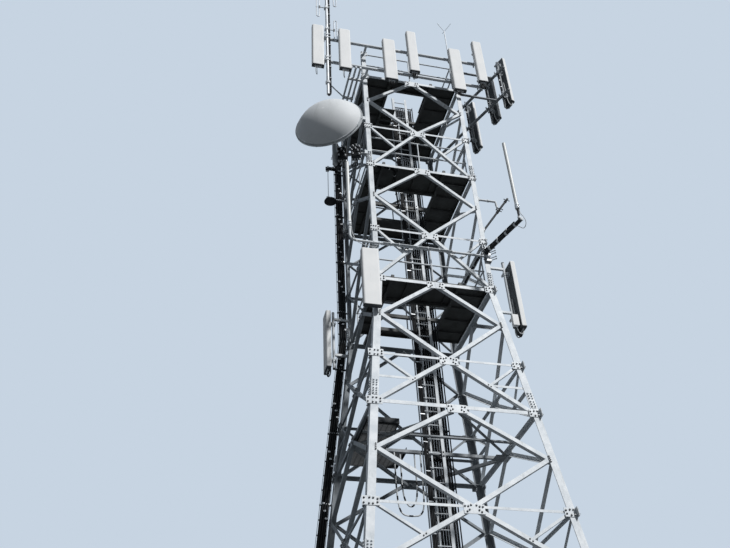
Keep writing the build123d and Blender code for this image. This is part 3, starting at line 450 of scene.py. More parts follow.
# Cosine past which two ways count as one line
NEARLY_ALONG = 0.97


def facing(spots, ahead, side=(0.0, 0.0, 1.0)):
    """Places whose Z axis looks ahead and whose X axis is `side` less its share along Z. Where
    the two are nearly one line, the world's X axis stands in for `side`."""
    spots = np.atleast_2d(np.array(spots, float))
    z = np.broadcast_to(unit(ahead), spots.shape)
    x = np.array(np.broadcast_to(unit(side), spots.shape))
    x[np.abs((x * z).sum(-1)) > NEARLY_ALONG] = (1.0, 0.0, 0.0)
    x = unit(x - (x * z).sum(-1, keepdims=True) * z)
    return np.stack([x, np.cross(z, x), z], axis=-1), spots


def about_z(spots, degrees=0.0):
    """Upright places turned about Z: cosine and sine of each angle fill the turn."""
    spots = np.atleast_2d(np.array(spots, float))
    angle = np.radians(np.broadcast_to(degrees, len(spots)))
    turns = np.zeros((len(spots), 3, 3))
    turns[:, 0, 0] = turns[:, 1, 1] = np.cos(angle)
    turns[:, 1, 0] = np.sin(angle)
    turns[:, 0, 1] = -turns[:, 1, 0]
    turns[:, 2, 2] = 1.0
    return turns, spots


print("a bolt facing -Y has the turn", facing((0, 0, 0), (0, -1, 0))[0].round(1).tolist())

# %% [markdown]
# ## Many copies in one product
# Every point of a shape times every turn, plus every spot, is one einsum. Shapes can then
# be joined, copied round a dial, and put on all four faces of the tower at once.

# %% Copies, joins and dials
def placed(shape, places):
    """Copies of a shape: every point times every turn, plus the spot. Each copy's face
    numbers go up by the points before it."""
    turns, spots = places
    points, faces = shape
    copies = np.einsum("kij,nj->kni", turns, points) + spots[:, None]
    steps = (np.arange(len(spots)) * len(points))[:, None, None]
    numbered = [(rows[None] + steps).reshape(-1, rows.shape[1]) for rows in faces]
    return copies.reshape(-1, 3), numbered


def merged(shapes):
    """One shape from many, each one's face numbers moved past the points before it."""
    starts = np.cumsum([0] + [len(points) for points, _ in shapes])
    faces = [rows + first for (_, blocks), first in zip(shapes, starts) for rows in blocks]
    return np.concatenate([points for points, _ in shapes]), faces


def dialled(shape, count, first=0.0):
    """Copies of a shape at equal steps of angle about the Z axis."""
    angles = first + np.arange(count) * 360.0 / count
    return placed(shape, about_z(np.zeros((count, 3)), angles))


def quartered(shape):
    """The same shape on all four faces: quarter turns about the tower's axis."""
    return dialled(shape, 4)


print("quarter turns place", len(quartered(block(0, 9, 0, 9, 0, 9))[0]), "points of four blocks")

# %% [markdown]
# ## Round forms and carried circles
# Most fittings are either turned, a profile run round a line, or drawn, an outline carried
# along a path. Blender's screw and curve tools make both one at a time. As functions on
# rows of numbers they make a hundred at once, all with closed ends.

# %% Turned and carried forms
def lathed(rows, spots=(0.0, 0.0, 0.0), way=(0.0, 0.0, 1.0), sides=20):
    """Round form from rows of radius and height, standing at each spot along a way."""
    return placed(stacked(ring(sides), rows), facing(spots, way))


def rod(start, end, radius, sides):
    """Round bar: a circle of the radius at both ends of a straight run."""
    run = np.subtract(end, start).astype(float)
    return lathed([(radius, 0.0), (radius, float(np.linalg.norm(run)))], start, run, sides)


# A direction that no cable takes, so that a circle can be carried along any of them.
SKEW = (0.5, 0.62, 0.6)


def carried(outline, path, up=SKEW, closed=False):
    """A flat outline carried along a path. Its sideways axis is up crossed with the path's
    direction, and its own up is the direction crossed with that."""
    path = np.array(path, float)
    if closed:
        run = unit(np.roll(path, -1, axis=0) - np.roll(path, 1, axis=0))
    else:
        run = unit(np.gradient(path, axis=0))
    side = unit(np.cross(up, run))
    lift = np.cross(run, side)
    across, along_lift = outline[None, :, :1], outline[None, :, 1:]
    return wrapped(path[:, None] + side[:, None] * across + lift[:, None] * along_lift, closed)


def bowed(points, steps):
    """Smooth path through two ends and pulled by two inner points: a cubic Bezier, the four
    points weighed by (1-t)^3, 3t(1-t)^2, 3t^2(1-t) and t^3."""
    t = np.linspace(0.0, 1.0, steps)[:, None]
    a, b, c, d = np.array(points, float)
    return (1 - t) ** 3 * a + 3 * t * (1 - t) ** 2 * b + 3 * t ** 2 * (1 - t) * c + t ** 3 * d


print("a lathed peg:", len(lathed([(5.0, 0.0), (5.0, 20.0)])[0]), "points")

# %% [markdown]
# ## Objects from shapes
# A shape becomes a Blender mesh through foreach_set, which takes whole arrays. The piece
# is smooth where its faces meet gently and sharp at its edges. It stays at the origin,
# unturned and unscaled, rides the tower's one body, and takes its finish as its material.

# %% A piece of the tower
CREASE = math.radians(35.0)
made_pieces = []


def piece(name, shape, finish):
    """Mesh object from a shape, in metres, smooth where faces meet at less than the crease."""
    points, faces = shape
    mesh = bpy.data.meshes.new(name)
    mesh.vertices.add(len(points))
    mesh.vertices.foreach_set("co", (points / 1000.0).ravel())
    corners = np.concatenate([rows.ravel() for rows in faces])
    counts = np.concatenate([np.full(len(rows), rows.shape[1]) for rows in faces])
    mesh.loops.add(len(corners))
    mesh.loops.foreach_set("vertex_index", corners)
    mesh.polygons.add(len(counts))
    mesh.polygons.foreach_set("loop_start", np.cumsum(counts) - counts)
    mesh.update(calc_edges=True)
    mesh.shade_smooth()
    mesh.set_sharp_from_angle(angle=CREASE)
    mesh.materials.append(finish)
    made = bpy.data.objects.new(name, mesh)
    bpy.context.scene.collection.objects.link(made)
    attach(made, "root")
    made_pieces.append((name, int((counts - 2).sum())))
    print("piece:", name, "triangles:", made_pieces[-1][1])
    return made


print("edges sharper than", round(math.degrees(CREASE)), "degrees stay sharp")

# %% [markdown]
# ## Bolts
# Each joint of a lattice tower is bolted, never welded, so that the members can be
# galvanised flat and lifted one by one. What shows is a washer, a six-sided nut and the
# end of the bolt. A thousand of them are in view, so each has only a few dozen faces.

# %% Bolts and threaded studs
def bolt(size):
    """Nut on a washer with the bolt's end through it, from z = 0 up: circles and hexagons
    whose radii and heights are shares of the bolt's diameter."""
    washer = stacked(size * ring(10), [(0.95, 0.0), (0.95, 0.16 * size)])
    nut = stacked(size * ring(6), [(0.84, 0.16 * size), (0.84, 0.82 * size), (0.7, 0.95 * size)])
    end = stacked(size * ring(6), [(0.46, 0.9 * size), (0.46, 1.3 * size)])
    return merged([washer, nut, end])


def stud(long, size):
    """Threaded rod along Z with a nut near each end."""
    spots = [(0.0, 0.0, 0.5 * size), (0.0, 0.0, long - 1.3 * size)]
    nuts = lathed([(0.84 * size, 0.0), (0.84 * size, 0.8 * size)], spots, sides=6)
    return merged([lathed([(0.46 * size, 0.0), (0.46 * size, long)], sides=8), nuts])


def bolts(size, spots, way=(0.0, 0.0, 1.0)):
    """Bolts at spots, with their heads looking along a way."""
    return placed(bolt(size), facing(spots, way))


def studs(long, size, spots, way=(0.0, 0.0, 1.0)):
    """Threaded rods that start at spots and run along a way."""
    return placed(stud(long, size), facing(spots, way))


print("faces of one bolt:", sum(len(rows) for rows in bolt(20.0)[1]))

# %% [markdown]
# ## The lines of the lattice
# Below the kink the four faces lean in by 104 mm a metre, and above it they stand
# upright. Every bolt on a face is found from a side, a height and a distance out from
# the face of the legs, so one function turns those three into points and their normals.

# %% Points on the front face
HALF, TAPER, KINK = 1250.0, 0.104, 12000.0
LEAN = math.atan(TAPER)
LEG_THICK, TOP_LEG_THICK, PLATE_THICK = 14.0, 10.0, 10.0
# Each bay by its foot and top, and by the shares of its height at which the braces meet
# the legs and the level bar crosses
BAYS = np.array([
    (0.0, 3000.0, 0.687, 0.355), (3000.0, 6000.0, 0.687, 0.355),
    (6000.0, 9000.0, 0.687, 0.355), (9000.0, 12000.0, 0.687, 0.355),
    (12000.0, 15250.0, 0.707, 0.405), (15250.0, 18350.0, 0.707, 0.405),
])
TALL = BAYS[:, 1] - BAYS[:, 0]
TOPS = BAYS[:, 1]
ARMS = BAYS[:, 0] + BAYS[:, 2] * TALL
MIDDLES = BAYS[:, 0] + BAYS[:, 3] * TALL
# The first bays, up to the kink, have sloping legs
SLOPING = 4


def heel(z):
    """Half the width to the legs' heels, which shrinks by the taper up to the kink."""
    return HALF + TAPER * np.maximum(0.0, KINK - z)


def on_face(side, z, out):
    """Points of the front face and their normals: `out` runs along the normal, which is
    -Y tipped up by the lean below the kink and plain -Y above it."""
    side, z, out = np.broadcast_arrays(np.asarray(side, float), z, out)
    lean = np.where(z <= KINK, LEAN, 0.0)
    normal = np.stack([0.0 * lean, -np.cos(lean), np.sin(lean)], axis=-1)
    flat = np.stack([side, -heel(z), z], axis=-1)
    return (flat + out[..., None] * normal).reshape(-1, 3), normal.reshape(-1, 3)


def bolts_on_face(side, z, out, size):
    """Bolts standing on the front face, one at each side and height."""
    spots, normal = on_face(side, z, out)
    return placed(bolt(size), facing(spots, normal, (1.0, 0.0, 0.0)))


def leg_bolts(levels, offsets, out, size):
    """Bolts on both legs' front flanges: offsets run in from each heel and up from each
    level, and one that runs out past the heel is on the left leg only."""
    inwards, rise = np.array(offsets, float).T
    z = np.asarray(levels)[:, None] + rise
    left = bolts_on_face(inwards - heel(z), z, out, size)
    kept = inwards > 0.0
    right = bolts_on_face((heel(z) - inwards)[:, kept], z[:, kept], out, size)
    return merged([left, right])


def middle_bolts(levels, offsets, out, size):
    """Bolts on both halves of the plates at the middle of the face."""
    across, rise = np.array(offsets, float).T
    z = np.asarray(levels)[:, None] + rise
    return merged([bolts_on_face(way * across + 0.0 * z, z, out, size) for way in (-1.0, 1.0)])


print("levels of the bays' tops:", TOPS.tolist())

# %% [markdown]
# ## Bolted joints
# Gusset plates tie the bracing to the legs at the top and the middle of each bay. The
# plates take bolts in short rows: through the leg's flange, and through the bars. Where
# two braces meet the leg between plates, they share four bolts through the flange.

# %% Bolts of the joints
# Places on the plates and flanges: distance in from the leg's heel, or across from the
# face's middle, and distance up from the level
LOWER_PLATE = [
    (-48, -50), (-48, 36), (38, -58), (38, 40), (100, -58), (100, 40), (172, -34), (172, 26),
]
UPPER_PLATE = [
    (-19, -52), (-19, 38), (28, -58), (28, 42), (78, -58), (78, 42), (127, -34), (127, 26),
]
NODE_PLATE = [(150, 2), (96, 2), (82, -60), (122, -90)]
BRACE_END = [(118, -52), (118, -18), (118, 18), (118, 52)]
TOP_BRACE_END = [(84, -48), (84, -16), (84, 16), (84, 48)]
FLANGE = LEG_THICK * math.cos(LEAN)
M20, M18, M16 = 20.0, 18.0, 16.0
lower_levels = np.concatenate([TOPS[:SLOPING], MIDDLES[:SLOPING]])
upper_levels = np.concatenate([TOPS[SLOPING:], MIDDLES[SLOPING:]])
lower_joints = merged([
    leg_bolts(lower_levels, LOWER_PLATE, PLATE_THICK, M20),
    middle_bolts(lower_levels, NODE_PLATE, PLATE_THICK - FLANGE, M20),
    middle_bolts(MIDDLES[:SLOPING], [(46, 24)], PLATE_THICK - FLANGE, M20),
    leg_bolts(ARMS[:SLOPING], BRACE_END, 0.0, M20),
])
upper_joints = merged([
    leg_bolts(upper_levels, UPPER_PLATE, PLATE_THICK, M18),
    middle_bolts(upper_levels, NODE_PLATE, PLATE_THICK - TOP_LEG_THICK, M18),
    leg_bolts(ARMS[SLOPING:], TOP_BRACE_END, 0.0, M18),
])
piece("bolts_lower_lattice", quartered(lower_joints), fastener)
piece("bolts_upper_lattice", quartered(upper_joints), fastener)

# The thin redundant bars cross the lower braces half-way and take two bolts there.
BRACE_IN, BRACE_FOOT = 123.0, 23.0
half_levels = (MIDDLES[:SLOPING] + BAYS[:SLOPING, 0] + BRACE_FOOT) / 2.0
half_sides = (heel(BAYS[:SLOPING, 0]) - BRACE_IN) / 2.0
redundant = [
    bolts_on_face(way * (half_sides + step), half_levels - 0.8 * step, -FLANGE, M16)
    for way in (-1.0, 1.0) for step in (-22.0, 22.0)
]
piece("bolts_redundant_bars", quartered(merged(redundant)), fastener)

# %% [markdown]
# ## Leg splices
# A leg this long comes in lengths that a lorry can carry. Each joint between lengths has
# a cover plate outside each flange and two columns of bolts. On the sloping legs the
# plate follows the leg, so its long axis leans both ways.

# %% Splice plates
# Each splice by level, distance of its middle from the leg's heel, and width
SPLICES = [
    (3260.0, 68.0, 100.0), (6240.0, 68.0, 100.0), (9280.0, 68.0, 100.0),
    (12290.0, 52.0, 76.0), (15465.0, 52.0, 76.0),
]
SPLICE_LONG, SPLICE_THICK = 350.0, 9.0
SPLICE_BOLTS = [-140.0, -88.0, -36.0, 36.0, 88.0, 140.0]


def splice(z, centre, wide):
    """Cover plates on both front flanges at a level, with two columns of bolts. The plate's
    long axis is the leg's own line: the taper both ways for one step up."""
    rise = np.repeat(SPLICE_BOLTS, 2)
    across = np.tile([-0.27 * wide, 0.27 * wide], len(SPLICE_BOLTS))
    lean = TAPER if z < KINK else 0.0
    rows = [(1.0, 0.0), (1.0, SPLICE_THICK - 2), (0.99, SPLICE_THICK)]
    plate = stacked(oblong(SPLICE_LONG, wide, 6.0), rows)
    shapes = []
    for way in (-1.0, 1.0):
        spot, normal = on_face(way * (heel(z) - centre), z, 0.0)
        shapes.append(placed(plate, facing(spot, normal, (-way * lean, lean, 1.0))))
        side = way * (heel(z + rise) - centre + across)
        shapes.append(bolts_on_face(side, z + rise, SPLICE_THICK, M18))
    return merged(shapes)


piece("leg_splices", quartered(merged([splice(*row) for row in SPLICES])), galvanised)

# %% [markdown]
# ## Feet
# The base plates stand on the ground and are held by anchor bolts cast into the
# foundation. Triangular ribs keep the plate from bending under the leg's flanges.

# %% Anchor bolts and ribs
PLATE_TOP = 30.0
FOOT = float(heel(PLATE_TOP)) - 55.0
ANCHOR = 170.0
RIB_HIGH, RIB_LONG, RIB_THICK = 230.0, 150.0, 12.0
sides = (-FOOT - ANCHOR, -FOOT + ANCHOR)
anchors = [(x, y, PLATE_TOP) for x in sides for y in sides]
anchor = merged([bolt(30.0), lathed([(13.0, 30.0), (13.0, 74.0), (10.4, 78.0)], sides=8)])
base = [placed(anchor, about_z(anchors))]
low, high = -float(heel(PLATE_TOP)), -float(heel(RIB_HIGH))
for x in (low + 45.0, low + 100.0):
    corners = [(x, high, RIB_HIGH), (x, low - RIB_LONG, PLATE_TOP), (x, low, PLATE_TOP)]
    base.append(swept(corners, (RIB_THICK, 0.0, 0.0)))
piece("anchors_and_ribs", quartered(merged(base)), galvanised)

# %% [markdown]
# ## Panel antennas
# A panel antenna is a row of radiating plates under one long cover of glass fibre. The
# cover is drawn to a constant section with soft front corners, so it is a rounded
# outline carried straight up, and its ends are closed by moulded caps. A subdivided box
# would need support loops for the same corners; arcs give them exactly.

# %% Where the panels hang
FRAME_Y, POLE_OFF, POLE_R = -1500.0, 64.0, 30.0
PANEL_DEEP, PANEL_GAP = 110.0, 60.0
SIDE_ROOT, SIDE_TIP = np.array([1310.0, 1150.0, 0.0]), np.array([2440.0, -1580.0, 0.0])
along = unit(SIDE_TIP - SIDE_ROOT)[0]
outwards = np.array([-along[1], along[0], 0.0])
SIDE_TURN = 90.0 + math.degrees(math.atan2(outwards[1], outwards[0]))


def side_spot(back):
    """Pole centre on the right frame, a distance back from the frame's tip."""
    return (SIDE_TIP - along * back + outwards * POLE_OFF)[:2]


# Front panels by pole's x, width, lower and upper end
FRONT = [
    (-2453.0, 290.0, 17790.0, 19350.0), (-1792.0, 290.0, 17830.0, 19360.0),
    (-672.0, 318.0, 17710.0, 19265.0), (-61.0, 252.0, 18170.0, 19760.0),
    (1049.0, 314.0, 17740.0, 19340.0), (1706.0, 248.0, 18220.0, 19830.0),
]
# Side panels by distance back from the frame's tip, lower and upper end
SIDE = [(237.0, 18085.0, 19830.0), (737.0, 17960.0, 19575.0), (1519.0, 17590.0, 19345.0)]
Panel = namedtuple("Panel", "name spot turn wide low high gap")
PANELS = [
    Panel("panel_front_%d" % (k + 1), (x, FRAME_Y - POLE_OFF), 0.0, wide, low, high, PANEL_GAP)
    for k, (x, wide, low, high) in enumerate(FRONT)
] + [
    Panel("panel_side_%d" % (k + 1), side_spot(back), SIDE_TURN, 290.0, low, high, PANEL_GAP)
    for k, (back, low, high) in enumerate(SIDE)
] + [
    Panel("panel_lower_front", (-1400.0, -1352.0), 0.0, 355.0, 11100.0, 12500.0, 20.0),
    Panel("panel_lower_right", (1600.0, -1142.0), 90.0, 360.0, 11120.0, 12800.0, PANEL_GAP),
    Panel("panel_lower_left", (-1600.0, 1145.0), -90.0, 360.0, 11250.0, 12730.0, PANEL_GAP),
]


def panel_place(panel):
    """Place of one panel's own axes: the pole at the origin and the front towards -Y."""
    return about_z([(*panel.spot, 0.0)], panel.turn)


print("panels:", len(PANELS), "turn of the right frame:", round(SIDE_TURN, 1), "degrees")

# %% [markdown]
# ## Covers, caps and backs
# Each cover, with the cap under it, is one outline stacked at a few heights. Shading is
# smooth, so rows stand close together at each end: they keep the long walls flat and let
# only the rim turn. The back is a folded metal plate, set in a little from the cover.

# %% Covers of the panels
FRONT_ARC, BACK_ARC, ARC_GUARD = 36.0, 8.0, 3.0


def rounded(wide, deep, front, back, steps=5):
    """Rectangle with a quarter arc at each corner, turning left: wide arcs at the front
    corners (-Y) and narrow ones at the back. A guard point before and after each arc keeps
    the flat sides flat where the surface is shaded smooth."""
    corners = [(1, -1, front), (1, 1, back), (-1, 1, back), (-1, -1, front)]
    outline = []
    for k, (sx, sy, radius) in enumerate(corners):
        angle = math.radians(90.0 * k - 90.0) + np.linspace(0.0, math.pi / 2.0, steps)
        centre = (sx * (wide / 2.0 - radius), sy * (deep / 2.0 - radius))
        arc = centre + radius * np.stack([np.cos(angle), np.sin(angle)], axis=-1)
        ahead = np.stack([-np.sin(angle), np.cos(angle)], axis=-1)
        outline += [arc[:1] - ARC_GUARD * ahead[:1], arc, arc[-1:] + ARC_GUARD * ahead[-1:]]
    return np.concatenate(outline)


def panel_shell(panel, rows):
    """The panel's rounded outline through rows of size and height, before its pole."""
    points, faces = stacked(rounded(panel.wide, PANEL_DEEP, FRONT_ARC, BACK_ARC), rows)
    middle = -POLE_R - panel.gap - PANEL_DEEP / 2.0
    return placed((points + (0.0, middle, 0.0), faces), panel_place(panel))


caps, plates = [], []
for panel in PANELS:
    low, high = panel.low, panel.high
    rows = [
        (0.96, low + 10), (1.0, low + 14), (1.0, low + 18), (1.0, high - 30), (1.0, high - 26),
        (0.985, high - 11), (0.94, high - 2), (0.86, high),
    ]
    cover = piece(panel.name + "_cover", panel_shell(panel, rows), radome)
    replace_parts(cover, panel.name)
    tall = 8.0 if panel.name == "panel_lower_front" else 22.0
    rows = [(0.93, low), (1.005, low + 3), (1.005, low + tall), (0.99, low + tall + 2)]
    caps.append(panel_shell(panel, rows))
    half, back = panel.wide / 2 - 12, -POLE_R - panel.gap
    plate = block(-half, half, back - 1, back + 3, low + 20, high - 30, 1.5)
    plates.append(placed(plate, panel_place(panel)))
# Partly painted shade: the caps under the panels take the dark grey plastic.
piece("panel_end_caps", merged(caps), cap_plastic_and_shade)
# Partly painted shade: the panels' backs take the dark grey.
piece("panel_back_plates", merged(plates), back_plate_and_shade)

# %% [markdown]
# ## Panel fittings
# Each panel hangs on a steel pole by two brackets. A bracket bolts to the panel's back
# and grips the pole between two jaws with threaded rods. Under the panel sit the cable
# connectors, turned from brass and plated, and each is a profile turned about a line.

# %% Brackets and connectors
CONNECTORS = (-60.0, -20.0, 20.0, 60.0)
CONNECTOR_ROWS = [(21, 0), (21, 5), (14, 6), (14, 22), (17, 23), (17, 40), (13, 42)]


def panel_bracket(gap):
    """Bracket at z = 0 in the panel's own axes: a plate on the panel's back, two cheeks, and
    two jaws that threaded rods draw on to the pole."""
    back = -POLE_R - gap
    shapes = [block(-62, 62, back, back + 6, -48, 48)]
    shapes += [block(x, x + 6, back + 5, -POLE_R - 4, -32, 32) for x in (-46.0, 40.0)]
    shapes += [block(-76, 76, y, y + 10, -32, 32) for y in (-POLE_R - 14, POLE_R + 2)]
    starts = [(x, -POLE_R - 34, 0.0) for x in (-60.0, 60.0)]
    return merged(shapes + [studs(2 * POLE_R + 62, 14.0, starts, (0, 1, 0))])


brackets, connectors = [], []
for panel in PANELS:
    place = panel_place(panel)
    levels = [(0.0, 0.0, panel.low + 260.0), (0.0, 0.0, panel.high - 260.0)]
    brackets.append(placed(placed(panel_bracket(panel.gap), about_z(levels)), place))
    if panel.name != "panel_lower_front":
        middle = -POLE_R - panel.gap - PANEL_DEEP / 2.0
        spots = [(x, middle, panel.low + 1.0) for x in CONNECTORS]
        connectors.append(placed(lathed(CONNECTOR_ROWS, spots, (0, 0, -1), 12), place))
piece("panel_brackets", merged(brackets), galvanised)
piece("panel_connectors", merged(connectors), stainless)

# %% [markdown]
# ## Short cables under the panels
# A short black cable leaves each connector downwards, turns back under the panel and
# climbs to the pole. The side panels also have two thick grey leads in wider loops. Each
# is a circle carried along two Bezier curves that share a point.

# %% Jumpers and grey leads
JUMPER_R, LEAD_R = 9.0, 11.0
JUMPER_UP = (0.3, 1.0, 0.1)
FREE_CABLE_PANELS = ("panel_front_1", "panel_front_2")
NO_JUMPERS = FREE_CABLE_PANELS + ("panel_lower_front",)
LONG_JUMPERS = ("panel_front_4", "panel_front_6")


def two_bows(points, steps=(12, 5)):
    """Two cubic curves end to end through seven points, of which they share the fourth."""
    return np.concatenate([bowed(points[:4], steps[0]), bowed(points[3:], steps[1])[1:]])


jumpers, leads = [], []
for panel in PANELS:
    low, place = panel.low, panel_place(panel)
    middle, back = -POLE_R - panel.gap - PANEL_DEEP / 2.0, -POLE_R - panel.gap + 12.0
    for k, x in enumerate(() if panel.name in NO_JUMPERS else CONNECTORS):
        foot = low - 96.0 - 14.0 * (k % 3) - (90.0 if panel.name in LONG_JUMPERS else 0.0)
        path = two_bows([
            (x, middle, low - 34), (x, middle, foot - 60), (x * 0.8, back, foot - 40),
            (x * 0.5, back, low + 10), (x * 0.4, back, low + 60), (x * 0.4, back, low + 110),
            (x * 0.3, back, low + 205),
        ])
        jumpers.append(placed(carried(JUMPER_R * ring(8), path, JUMPER_UP), place))
    has_leads = "side" in panel.name or panel.name == "panel_lower_right"
    for x, drop in ((-95.0, 190.0), (95.0, 150.0)) if has_leads else ():
        path = two_bows([
            (x, middle, low + 2), (x, middle, low - drop), (x * 0.9, -20, low - drop),
            (x * 0.55, -34, low + 60), (x * 0.5, -36, low + 200), (x * 0.5, -40, low + 380),
            (x * 0.4, -44, low + 760),
        ], (14, 8))
        leads.append(placed(carried(LEAD_R * ring(8), path, JUMPER_UP), place))
piece("panel_jumpers", merged(jumpers), jacket)
piece("panel_grey_leads", merged(leads), pale_jacket)

# %% [markdown]
# ## Pipe clamps
# The poles cross the level pipes in front of them. Two straps before the pole and two
# behind the pipe are drawn together by four threaded rods, which grips both and lets the
# pole be moved sideways. One function makes the clamp for any pair of pipes.

# %% Crossing clamps
PIPE_R = 38.0
FRAME_LEVELS = (18300.0, 19200.0)
MAST_X, MAST_OFF, MAST_R = -2195.0, 73.0, 35.0
MAST_Y = FRAME_Y - MAST_OFF


def crossing_clamp(offset, front_r, rear_r):
    """Clamp on a level pipe at the origin and an upright pole `offset` in front of it."""
    front = -offset - front_r
    wide = max(front_r, rear_r) + 18.0
    shapes = []
    for way in (-1.0, 1.0):
        a, b = sorted((way * (wide - 16), way * (wide + 16)))
        shapes.append(block(-wide - 20, wide + 20, front - 9, front - 1, a, b))
        shapes.append(block(a, b, rear_r + 1, rear_r + 9, -wide - 20, wide + 20))
    starts = [(x, front - 24.0, z) for x in (-wide, wide) for z in (-wide, wide)]
    return merged(shapes + [studs(rear_r - front + 48.0, 15.0, starts, (0, 1, 0))])


clamps = []
for z in FRAME_LEVELS:
    front_spots = [(x, FRAME_Y, z) for x, *_ in FRONT]
    side_spots = [SIDE_TIP - along * back + (0.0, 0.0, z) for back, *_ in SIDE]
    on_pole = crossing_clamp(POLE_OFF, POLE_R, PIPE_R)
    clamps.append(placed(on_pole, about_z(front_spots)))
    clamps.append(placed(on_pole, about_z(side_spots, SIDE_TURN)))
    on_mast = crossing_clamp(MAST_OFF, MAST_R, PIPE_R)
    clamps.append(placed(on_mast, about_z([(MAST_X, FRAME_Y, z)])))
piece("crossing_clamps", merged(clamps), galvanised)

# %% [markdown]
# ## End caps and leg flanges
# Open pipe ends are plugged, so that no water stands in them. A plug is a short skirt over
# the rim and a low dome. Where the frames' stubs meet the legs, a flat flange takes four
# bolts, and a weld bead runs round the pipe. Both are profiles turned about a line.

# %% End caps and leg flanges
FRAME_LEFT, FRAME_RIGHT = -2520.0, 1790.0
# How far every pole reaches at least past the frames' two pipes
POLE_PAST = 60.0


def end_cap(radius, spot, way):
    """Moulded plug on a pipe's end: its skirt reaches 14 mm back and its dome 9 mm out."""
    rows = [
        (radius + 1.5, -14), (radius + 2, -12), (radius + 2, 2), (radius - 1, 6),
        (radius * 0.55, 9),
    ]
    return lathed(rows, spot, way)


def pole_ends(panel):
    """Lower and upper end of a panel's pole, which the frames' pipes make longer."""
    if "lower" in panel.name:
        return panel.low + 60.0, panel.high + 60.0
    foot, head = FRAME_LEVELS[0] - POLE_PAST, FRAME_LEVELS[1] + POLE_PAST
    return min(panel.low + 150.0, foot), max(panel.high - 150.0, head)


plugs = []
for z in FRAME_LEVELS:
    plugs.append(end_cap(PIPE_R, (FRAME_LEFT, FRAME_Y, z), (-1, 0, 0)))
    plugs.append(end_cap(PIPE_R, (FRAME_RIGHT, FRAME_Y, z), (1, 0, 0)))
    plugs.append(end_cap(PIPE_R, SIDE_TIP + (0, 0, z), along))
    plugs.append(end_cap(PIPE_R, SIDE_ROOT + (0, 0, z), -along))
for panel in PANELS:
    foot, head = pole_ends(panel)
    plugs.append(end_cap(POLE_R, (*panel.spot, head), (0, 0, 1)))
    if panel.name not in FREE_CABLE_PANELS:
        plugs.append(end_cap(POLE_R, (*panel.spot, foot), (0, 0, -1)))
piece("pipe_end_caps", merged(plugs), cap_plastic_and_shade)

flange = merged([
    stacked(oblong(170, 150, 10), [(1.0, 0.0), (1.0, 8.0), (0.98, 10.0)]),
    bolts(18.0, [(x, y, 10.0) for x in (-62, 62) for y in (-52, 52)]),
    lathed([(POLE_R + 9.0, 9.0), (POLE_R + 5.0, 15.0), (POLE_R - 1.0, 19.0)]),
])
flanges = []
for z, thick in zip(FRAME_LEVELS, (PLATE_THICK, 0.0)):
    front_spots = [(x, -HALF - thick, z) for x in (-1185.0, 1185.0)]
    side_spots = [(HALF + thick, y, z) for y in (1150.0, -1180.0)]
    flanges.append(placed(flange, facing(front_spots, (0, -1, 0), (1, 0, 0))))
    flanges.append(placed(flange, facing(side_spots, (1, 0, 0), (0, 1, 0))))
piece("frame_flanges", merged(flanges), galvanised)

# %% [markdown]
# ## The dish
# A drum antenna is a spun aluminium reflector behind a deep cover of glass-fibre or
# coated fabric. Clips hold the cover on the rim, ribs stiffen the back, and the hub
# bolts to a mount on an upright pole. All of it is set out about the dish's own aim, as
# one part of each kind copied round a dial.

# %% Rim clips, ribs and hub bolts
DISH_CENTRE = np.array([-2140.0, -1340.0, 16230.0])
DISH_TURN, DISH_TILT = math.radians(242.0), math.radians(5.0)
DISH_R = 757.0
RIM_CLIPS, BACK_RIBS, HUB_BOLTS = 20, 8, 12
aim = np.array([
    math.cos(DISH_TURN) * math.cos(DISH_TILT), math.sin(DISH_TURN) * math.cos(DISH_TILT),
    math.sin(DISH_TILT),
])
dish_place = facing(DISH_CENTRE, aim, (-aim[1], aim[0], 0.0))
clip = merged([
    block(DISH_R + 9, DISH_R + 13, -18, 18, 20, 71),
    block(DISH_R - 14, DISH_R + 13, -18, 18, 70, 75),
    block(DISH_R + 11, DISH_R + 28, -18, 18, 20, 26),
    bolts(8.0, (DISH_R + 13, 0, 46), (1, 0, 0)),
])
rib = swept([
    (255, -4, -206), (735, -4, -2), (765, -4, -2), (765, -4, -34), (300, -4, -262), (255, -4, -262),
], (0, 8, 0))
back = merged([
    dialled(rib, BACK_RIBS, 22.5),
    lathed([(196, -236), (200, -234), (200, -222), (196, -220)], sides=36),
    dialled(bolts(14.0, (180, 0, -236), (0, 0, -1)), HUB_BOLTS),
])
piece("dish_clips", placed(dialled(clip, RIM_CLIPS, 9.0), dish_place), stainless)
piece("dish_back_ribs", placed(back, dish_place), dish_paint)

# %% [markdown]
# ## The dish's mount
# The mount is a thick pole on two arms from the leg. A collar closes each arm round the
# pole, and two long studs draw it tight. Four bolts hold each arm's pad to the leg.

# %% Dish mount clamps
MOUNT = (-1940.0, -964.0)
MOUNT_R = 57.0
MOUNT_ARMS = (15600.0, 16750.0)
LEG_MIDDLE = -1198.0
collar_rows = [(MOUNT_R + 7, 0), (MOUNT_R + 9, 2), (MOUNT_R + 9, 68), (MOUNT_R + 7, 70)]
mount = [
    end_cap(MOUNT_R, (*MOUNT, 17000.0), (0, 0, 1)),
    end_cap(MOUNT_R, (*MOUNT, 15350.0), (0, 0, -1)),
]
for z in MOUNT_ARMS:
    mount.append(lathed(collar_rows, (*MOUNT, z - 35), sides=24))
    starts = [(MOUNT[0] - 75.0, MOUNT[1] + MOUNT_R + 20, z + dz) for dz in (-20.0, 20.0)]
    mount.append(studs(150.0, 14.0, starts, (1, 0, 0)))
    pad = [(-HALF - 60.0, LEG_MIDDLE + dy, z + dz) for dy in (-36, 36) for dz in (-36, 36)]
    mount.append(bolts(14.0, pad, (-1, 0, 0)))
piece("dish_mount_clamps", merged(mount), galvanised)

